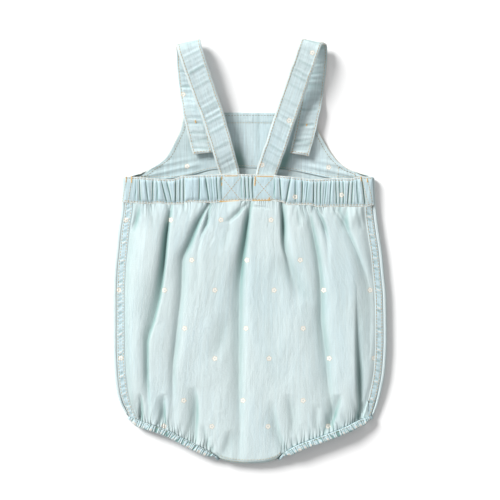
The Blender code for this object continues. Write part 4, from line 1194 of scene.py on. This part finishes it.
def band_columns():
    """Grid columns of the waistband: x at the top edge, x at the bottom edge, wall, distance from the
    nearest gather and how deep that gather is."""
    left, right, _ = seam_places(np.array([BAND_MIDDLE_Y]))
    first, final = left[0] - BAND_END_REACH, right[0] + BAND_END_REACH
    last = (final, final + BAND_END_SLANT)
    marks = ((first, first - BAND_END_SLANT, 0.0),) + GATHERS + ((*last, 0.0),)
    rng = np.random.default_rng(13)
    columns = []
    for start, end in zip(marks[:-1], marks[1:]):
        gap = (end[0] + end[1] - start[0] - start[1]) / 2
        flat = start[2] == 0 or end[2] == 0 or boxed((start[0] + end[0]) / 2)
        full = BAND_FULL * min(1.0, BAND_LEAST_FULL + (1 - BAND_LEAST_FULL) * gap / BAND_FULL_PITCH)
        high = BAND_PLAIN if flat else max(full, BAND_PLAIN)
        count = BAND_STEPS * (2 if gap > BAND_WIDE_GAP else 1)
        dent = rng.uniform(0.3, 0.7)
        small = 0.0 if flat or gap < 4.0 else rng.uniform(0.3, 0.8)
        for step in np.arange(count) / count:
            step = step - 0.13 * math.sin(2 * math.pi * step)
            valley = start[2] * (1 - step) + end[2] * step
            low = high - (high - BAND_THIN) * valley
            crown = math.sin(math.pi * step) ** BAND_ROUNDNESS
            wall = low + (high - low) * crown
            wall -= small * math.exp(-((step - dent) * gap / 0.6) ** 2)
            near = gap * min(step, 1 - step)
            places = (start[i] + step * (end[i] - start[i]) for i in (0, 1))
            columns.append((*places, wall, near, start[2] if step < 0.5 else end[2]))
    columns.append((*last, BAND_PLAIN, BAND_WIDE_GAP, 0.0))
    return np.array(columns)


def build_back_waistband():
    """The elastic casing: a plain inner face, an outer face that rises between the gathers and dips
    under the two lines of stitching, crossed boxes over the straps and bars at its ends."""
    columns = band_columns()
    row = np.concatenate([BAND_ROWS[0], np.linspace(*BAND_ROWS[1]), BAND_ROWS[2]])[:, None]
    x = columns[:, 0] + row * (columns[:, 1] - columns[:, 0])
    bow = 0.6 * np.sin(math.pi * row) * wave("band bow", x)
    ends = ease(np.minimum(x - x.min(), x.max() - x), 0.0, 3.0)
    x = x + bow * ends
    top = along(BAND_TOP, x) + 0.25 * wave("band top", x)
    bottom = along(BAND_BOTTOM, x) + 0.25 * wave("band bottom", x)
    y = top + row * (bottom - top)
    under = along(BAND_UNDER, x)
    wall = BAND_THIN + (columns[:, 2] - BAND_THIN) * along(BAND_FULLNESS, row)
    wall = BAND_END_WALL + (wall - BAND_END_WALL) * (0.2 + 0.8 * ends)
    inside = ease(row, 0.07, 0.16) * (1 - ease(row, 0.84, 0.93))
    tuck = (1 - np.abs(wave("band tucks", x + 4.0 * row))) ** 6
    tuck = tuck * inside * ends * (0.5 + 0.5 * wave("band tuck depth", x - 6.0 * row))
    upper = np.dstack([x, y, under + wall - BAND_TUCK * tuck])
    lower = np.dstack([x, y, under])
    near, valley = columns[:, 3], columns[:, 4]
    # Beside each gather valley a pale line of wear and painted highlight, and a worn cream lip at both
    # edges; painted shade in the gather valleys and the tucks
    gather_wear_and_highlight = 0.85 * np.exp(-((near - 1.0) / 0.36) ** 2) * valley * inside
    lip = np.maximum(1 - ease(row, 0.012, 0.034), 0.95 * ease(row, 0.95, 0.97))
    worn = np.maximum(gather_wear_and_highlight, 0.95 * lip + 0 * x)
    deep = (0.95 * np.exp(-(near / 0.6) ** 2) + 0.26 * np.exp(-near / 1.6)) * valley * inside
    deep = np.clip(deep + 0.45 * tuck, 0, MOST_PAINTED_SHADE)
    cloth = np.dstack([x * 1.25, y])
    piece = closed_wall("waistband", upper, lower, denim_band, cloth, worn, deep,
                        flowers=BAND_FLOWERS, seed=15)
    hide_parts("back_waistband")
    up = normals(upper)
    runs = [run_of_stitches(upper[r], up[r]) for r in BAND_STITCH_ROWS]
    for low, high in BOXED_SQUARES:
        low, high = low + BOXED_CROSS_INSET, high - BOXED_CROSS_INSET
        for x0, x1 in ((low, high), (high, low)):
            line = segment(x0, BOXED_CROSS_Y[0], x1, BOXED_CROSS_Y[1], 0.6)
            runs.append(run_of_stitches(*pressed_on(upper, line), 2.7, 2.2, 0.26))
    for x0, x1 in BAND_END_STITCHES:
        line = segment(x0, BAND_END_STITCH_Y[0], x1, BAND_END_STITCH_Y[1], 0.6)
        runs.append(run_of_stitches(*pressed_on(upper, line), 2.8, 2.2, 0.24))
    joined("stitches_waistband", runs, tan_thread)
    bars = [bartack(*pressed_on(upper, segment(*ends, 0.4)), width) for *ends, width in BAND_BARS]
    joined("bartacks_waistband", bars, orange_thread)


def strap_line(side):
    """The strap's middle line, widths and cross angles, smooth through each place of its table."""
    table = np.array(STRAPS[side])
    places = np.arange(len(table), dtype=float)
    far = distance(table[:, :3])
    even = np.interp(np.linspace(0, far[-1], STRAP_ROWS), far, places)
    values = np.column_stack([smooth(places, table[:, i], even) for i in range(5)])
    line = values[:, :3]
    kernel = np.ones(5) / 5
    for axis in range(3):
        padded = np.pad(line[:, axis], 2, mode="edge")
        line[2:-2, axis] = np.convolve(padded, kernel, "valid")[2:-2]
    return line, values[:, 3], np.radians(values[:, 4])


def build_strap(side):
    """A doubled strap: cross lines level, thickness square to its face, raised worn edges, puckers
    between its lines of stitching, and a turned-in end that lifts off the bib."""
    line, width, angle = strap_line(side)
    across = np.column_stack([np.cos(angle), np.sin(angle), np.zeros_like(angle)])
    ahead = unit(np.gradient(line, axis=0))
    face = unit(np.cross(across, ahead))
    share = np.sin(np.linspace(-math.pi / 2, math.pi / 2, STRAP_COLUMNS)) * 0.35
    share = (share + 0.65 * np.linspace(-1, 1, STRAP_COLUMNS))[None, :, None]
    share = share / share.max()
    far = distance(line)[:, None]
    place = share[..., 0]
    aside = np.abs(place)
    seed = STRAP_SEED[side]
    sway = 0.28 * wave("strap sway", far, seed)
    middle = line[:, None] + across[:, None] * (share * width[:, None, None] / 2 + sway[..., None])
    inner = 1 - ease(aside, 0.62, 0.8)
    pucker = wave("strap puckers", far - 2.2 * place * SIGN[side], seed)
    pucker = pucker * (0.6 + 0.4 * wave("strap pucker depth", far, seed))
    groove = np.exp(-((aside - STRAP_STITCH_AT) / 0.055) ** 2)
    rim = ease(aside, 0.84, 0.93) * (1 - ease(aside, 0.97, 1.0))
    turned = np.exp(-((far - STRAP_END_HEM) / 1.6) ** 2)
    folded_end = 1 - ease(far, STRAP_END_HEM - 1, STRAP_END_HEM + 1)
    lift = 0.85 * pucker * inner - 0.28 * groove + 0.04 * rim - 0.35 * turned + 0.2 * folded_end
    lift = lift * (0.25 + 0.75 * ease(far[-1] - far, 4.0, 28.0))
    half = STRAP_WALL / 2 * (0.72 + 0.28 * ease(far, 0.2, 1.4))
    half = half - 0.55 * ease(aside, 0.93, 1.0) * STRAP_WALL / 2
    upper = middle + face[:, None] * (half + lift)[..., None]
    lower = middle - face[:, None] * (half - lift * 0.6)[..., None]
    lower[..., 2] = np.maximum(lower[..., 2], FLOOR_GAP)
    worn = 0.9 * ease(aside, 0.93, 0.97) + 0 * far
    worn = np.maximum(worn, 1 - ease(far, 0.3, 1.0) + 0 * place)
    # Painted shade in the stitch grooves, the pucker hollows and the crease of the turned-in end
    deep = 0.16 * groove + 0.42 * inner * np.clip(-pucker * 1.4, 0, 1) + 0.3 * turned * (1 - rim)
    cloth = np.dstack([place * width[:, None] / 2 + STRAP_CLOTH_X[side], far + 0 * place])
    piece = closed_wall("strap_over_" + side, upper[::-1], lower[::-1], denim_strap, cloth[::-1],
                        worn[::-1], deep[::-1])
    print_flowers(piece, STRAP_FLOWERS[side], upper_half=side == "right", seed=19)
    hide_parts("strap_" + side)
    up = np.broadcast_to(face[:, None], upper.shape)
    c = int(np.argmin(np.abs(place[0] + STRAP_STITCH_AT)))
    runs = [run_of_stitches(grid[:, k], up[:, k] * sense)
            for grid, sense in ((upper, 1.0), (lower, -1.0)) for k in (c, STRAP_COLUMNS - 1 - c)]
    r = int(np.argmin(np.abs(far[:, 0] - STRAP_END_STITCH)))
    runs.append(run_of_stitches(upper[r, 2:-2], up[r, 2:-2]))
    joined("stitches_strap_" + side, runs, tan_thread)
    below = line[far[:, 0] < STRAP_UNDER_LENGTH, :2]
    spot = int(np.argmin(np.linalg.norm(below - np.array(BUTTON_AT[side]), axis=1)))
    path = upper[spot, STRAP_COLUMNS // 2] + np.linspace(-1.6, 1.6, 9)[:, None] * ahead[spot]
    bars = [bartack(path, np.repeat(face[spot][None], 9, axis=0), 1.5, 0.5, 0.36)]
    joined("button_thread_" + side, bars, orange_thread)


def print_flowers(piece, rows, upper_half, seed):
    """Print flowers on the strap's part that lies on top, or on the part that lies under it."""
    mesh = piece.data
    points = np.empty(len(mesh.vertices) * 3, np.float32)
    mesh.vertices.foreach_get("co", points)
    points = points.reshape(-1, 3) / MM
    corner = np.empty(len(mesh.loops), np.int32)
    mesh.loops.foreach_get("vertex_index", corner)
    faces = corner.reshape(-1, 4)
    local = flower_map(points, faces, rows, seed)
    high = points[faces][:, :, 2].mean(axis=1) > STRAP_PARTING_Z
    wrong = np.repeat(high != upper_half, 4)
    local[wrong] = FAR_FROM_FLOWERS
    mesh.uv_layers["flower"].data.foreach_set("uv", local.astype(np.float32).ravel())


def casing_line(side):
    """The casing's middle line in plan, with its direction, the way out of the leg opening and half its
    width, which narrows towards the crotch."""
    sign = SIGN[side]
    count = CASING_WAVES * CASING_WAVE_STEPS + 1
    x = sign * np.linspace(CASING_SIDE_END, CASING_CROTCH_END[side], count)
    edge = np.column_stack([x, along(LOWER_EDGE, x)])
    ahead = np.gradient(edge, axis=0)
    for _ in range(36):
        ahead[1:-1] = (ahead[:-2] + 2 * ahead[1:-1] + ahead[2:]) / 4
    ahead = unit(ahead)
    out = sign * np.column_stack([-ahead[:, 1], ahead[:, 0]])
    far = np.abs(x) - CASING_CROTCH_END[side]
    half = CASING_WIDTH / 2 * (0.35 + 0.65 * ease(far, 0.0, CASING_TAPER))
    half = half * (0.5 + 0.5 * ease(CASING_SIDE_END - np.abs(x), 0.0, CASING_SIDE_TAPER))
    return edge + out * (half + CASING_GAP)[:, None], ahead, out, half


def build_leg_casing(side):
    """An elastic leg casing: a flattened ring, finely gathered over the leg opening and plain under
    it, with a turn at each end."""
    line, ahead, out, half = casing_line(side)
    last = len(line) - 1
    turn = np.linspace(90.0, -90.0, CASING_TURN_STEPS + 2)[1:-1]
    under = np.linspace(last, 0, CASING_UNDER_STEPS + 1).round().astype(int)
    over = np.arange(last + 1)
    place = np.concatenate([over, np.full(len(turn), last), under, np.zeros(len(turn), int)])
    angle = np.concatenate([np.full(last + 1, 90.0), turn, np.full(len(under), -90.0), -turn])
    level = np.sin(np.radians(angle))
    forward = np.cos(np.radians(angle)) * np.where(place == 0, -1.0, 1.0)
    face = np.column_stack([ahead[place] * forward[:, None], level])
    low = CASING_UNDER_WALL / 2
    along_edge = np.linspace(0, 1, last + 1)[place]
    radius = (CASING_OVER_Z[side] * along(CASING_RISE, along_edge) - low) / 2
    middle = np.column_stack([line[place], low + radius]) + radius[:, None] * face
    sideways = np.column_stack([out[place], np.zeros(len(place))])
    high = (1 + level) / 2
    wall = CASING_UNDER_WALL + (CASING_OVER_WALL - CASING_UNDER_WALL) * high
    turns = over / CASING_WAVE_STEPS
    seed = CASING_SEED[side]
    uneven = 1 + 0.7 * wave("casing depth", turns, seed)
    slip = 0.75 * wave("casing slip", turns, seed)
    lean = 0.16 + 0.2 * wave("casing lean", turns, seed)
    sheets = CASING_OVER_COLUMNS, CASING_UNDER_COLUMNS
    share = np.concatenate([np.linspace(-1, 1, sheets[0]), np.linspace(1, -1, sheets[1])])
    outer = np.concatenate([np.ones(sheets[0]), -np.ones(sheets[1])])
    puff = np.where(outer > 0, np.clip(1.35 - 1.35 * np.abs(share) ** 3, 0, 1), 0.0)
    points, worn, deep = [], [], []
    for across, through, full in zip(share, outer, puff):
        bulge = np.abs(np.sin(math.pi * (turns + slip + lean * across))) ** 0.6
        gather, crown = np.zeros(len(place)), np.zeros(len(place))
        gather[:last + 1] = CASING_WAVE * bulge * uneven * full
        crown[:last + 1] = bulge
        groove = 0.35 * math.exp(-((across - CASING_STITCH_AT) / 0.14) ** 2) if through > 0 else 0.0
        lift = through * wall / 2 + gather - groove * high
        width = across * (half[place] + 0.12 * np.abs(gather))
        points.append(middle + sideways * width[:, None] + face * lift[:, None])
        # Lighter on the gathers' crowns, wear and painted highlight, and worn along the edges; painted
        # shade in the gathers' valleys
        rub_and_highlight = (through > 0) * 0.85 * ease(crown, 0.8, 1.0) * (0.35 + 0.65 * (across > 0.2))
        worn.append(np.maximum(rub_and_highlight, 0.35) if abs(across) > 0.95 else rub_and_highlight)
        gathered = (np.arange(len(place)) <= last) * (full > 0)
        deep.append((1 - ease(crown, 0.35, 0.8)) * MOST_PAINTED_SHADE * gathered)
    grid = np.stack(points, axis=1)
    faces = ring_faces(*grid.shape[:2])
    flat = grid.reshape(-1, 3)
    first, second, third, fourth = (flat[faces[:, k]] for k in range(4))
    volume = np.einsum("ij,ij->i", first, np.cross(second, third) + np.cross(third, fourth)).sum()
    if volume < 0:
        faces = faces[:, ::-1]
    far, across = np.broadcast_arrays(distance(middle)[:, None], share * CASING_WIDTH / 2)
    cloth = np.dstack([far, across])
    piece = new_piece("leg_casing_gathered_" + side, flat, faces, denim_band, cloth=cloth,
                      worn=np.stack(worn, axis=1), deep=np.stack(deep, axis=1))
    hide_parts("leg_casing_" + side)
    path = grid[4:last - 3, CASING_STITCH_COLUMN]
    up = np.broadcast_to([0.0, 0.0, 1.0], path.shape)
    runs = [run_of_stitches(path, up, 2.6, 2.2)]
    joined("stitches_leg_casing_" + side, runs, olive_thread)


def build_button(side):
    """A turned button, its dished face down; the sewing holes are hidden and left out."""
    x, y = BUTTON_AT[side]
    radius, bead, shoulder = BUTTON_RADIUS, BUTTON_RIM / 2, BUTTON_RADIUS - BUTTON_ROUND
    profile = [(BUTTON_MIDDLE, BUTTON_THICK), (shoulder, BUTTON_THICK)]
    profile += [(shoulder + BUTTON_ROUND * math.sin(a),
                 BUTTON_THICK - BUTTON_ROUND + BUTTON_ROUND * math.cos(a))
                for a in np.linspace(0, math.pi / 2, 6)[1:]]
    profile += [(radius, 0.7)]
    profile += [(radius - bead + bead * math.cos(a), bead - bead * math.sin(a) + 0.02)
                for a in np.linspace(0, math.pi, 9)]
    profile += [(radius - BUTTON_RIM - 0.7, BUTTON_DISH + 0.15), (2.0, BUTTON_DISH + 0.25),
                (BUTTON_MIDDLE, BUTTON_DISH + 0.25)]
    r, z = np.array(profile).T
    turn = np.linspace(0, 2 * math.pi, 64, endpoint=False)[:, None]
    grid = np.dstack([x + r * np.cos(turn), y + r * np.sin(turn), z + 0 * turn])
    faces = ring_faces(*grid.shape[:2])
    piece = new_piece("button_turned_" + side, grid.reshape(-1, 3), faces[:, ::-1], button_horn)
    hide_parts("button_" + side)


# Studio -------------------------------------------------------------------------------------------

VIEW_CENTRE = (0.0, 0.002)
VIEW_HEIGHT = 1.8
VIEW_SIDE = 0.5
SUBJECT_Z = 0.008
SENSOR = 36.0
FLOOR_HALF = 6.0
FILL_LIGHT = 0.50
SUN_STRENGTH = 4.75
SUN_SPREAD = 24
SUN_AZIMUTH = 139
SUN_ELEVATION = 31


def build_studio():
    """A plain pale floor, a broad soft light from the upper left, an even fill and the camera."""
    scene = bpy.context.scene
    mesh = bpy.data.meshes.new("studio_floor")
    corners = [(x * FLOOR_HALF, y * FLOOR_HALF, 0) for x, y in ((-1, -1), (1, -1), (1, 1), (-1, 1))]
    mesh.from_pydata(corners, [], [(0, 1, 2, 3)])
    floor = in_scene("studio_floor", mesh)
    mesh.materials.append(plain("studio_paper", (0.92, 0.92, 0.92, 1), 0.85).material)
    world = bpy.data.worlds.new("studio")
    world.use_nodes = True
    fill = world.node_tree.nodes["Background"].inputs
    fill["Color"].default_value = (1.0, 1.0, 1.0, 1.0)
    fill["Strength"].default_value = FILL_LIGHT
    scene.world = world
    lamp = bpy.data.lights.new("key_light", "SUN")
    lamp.energy = SUN_STRENGTH
    lamp.angle = math.radians(SUN_SPREAD)
    azimuth, elevation = math.radians(SUN_AZIMUTH), math.radians(SUN_ELEVATION)
    in_scene("key_light", lamp).rotation_euler = (math.pi / 2 - elevation, 0.0, azimuth + math.pi / 2)
    camera = bpy.data.cameras.new("camera")
    camera.sensor_width = SENSOR
    camera.lens = SENSOR * (VIEW_HEIGHT - SUBJECT_Z) / VIEW_SIDE
    camera.clip_start, camera.clip_end = 0.05, 50.0
    scene.camera = in_scene("camera", camera)
    scene.camera.location = (*VIEW_CENTRE, VIEW_HEIGHT)
    scene.view_settings.view_transform = "Standard"
    scene.view_settings.look = "None"


def main():
    """Make the studio, then each piece of the garment from the floor up."""
    build_studio()
    build_front_panel()
    build_bib_facing()
    back = build_back_panel()
    build_side_seams(back)
    build_back_waistband()
    for side in SIDES:
        build_strap(side)
        build_leg_casing(side)
        build_button(side)


main()
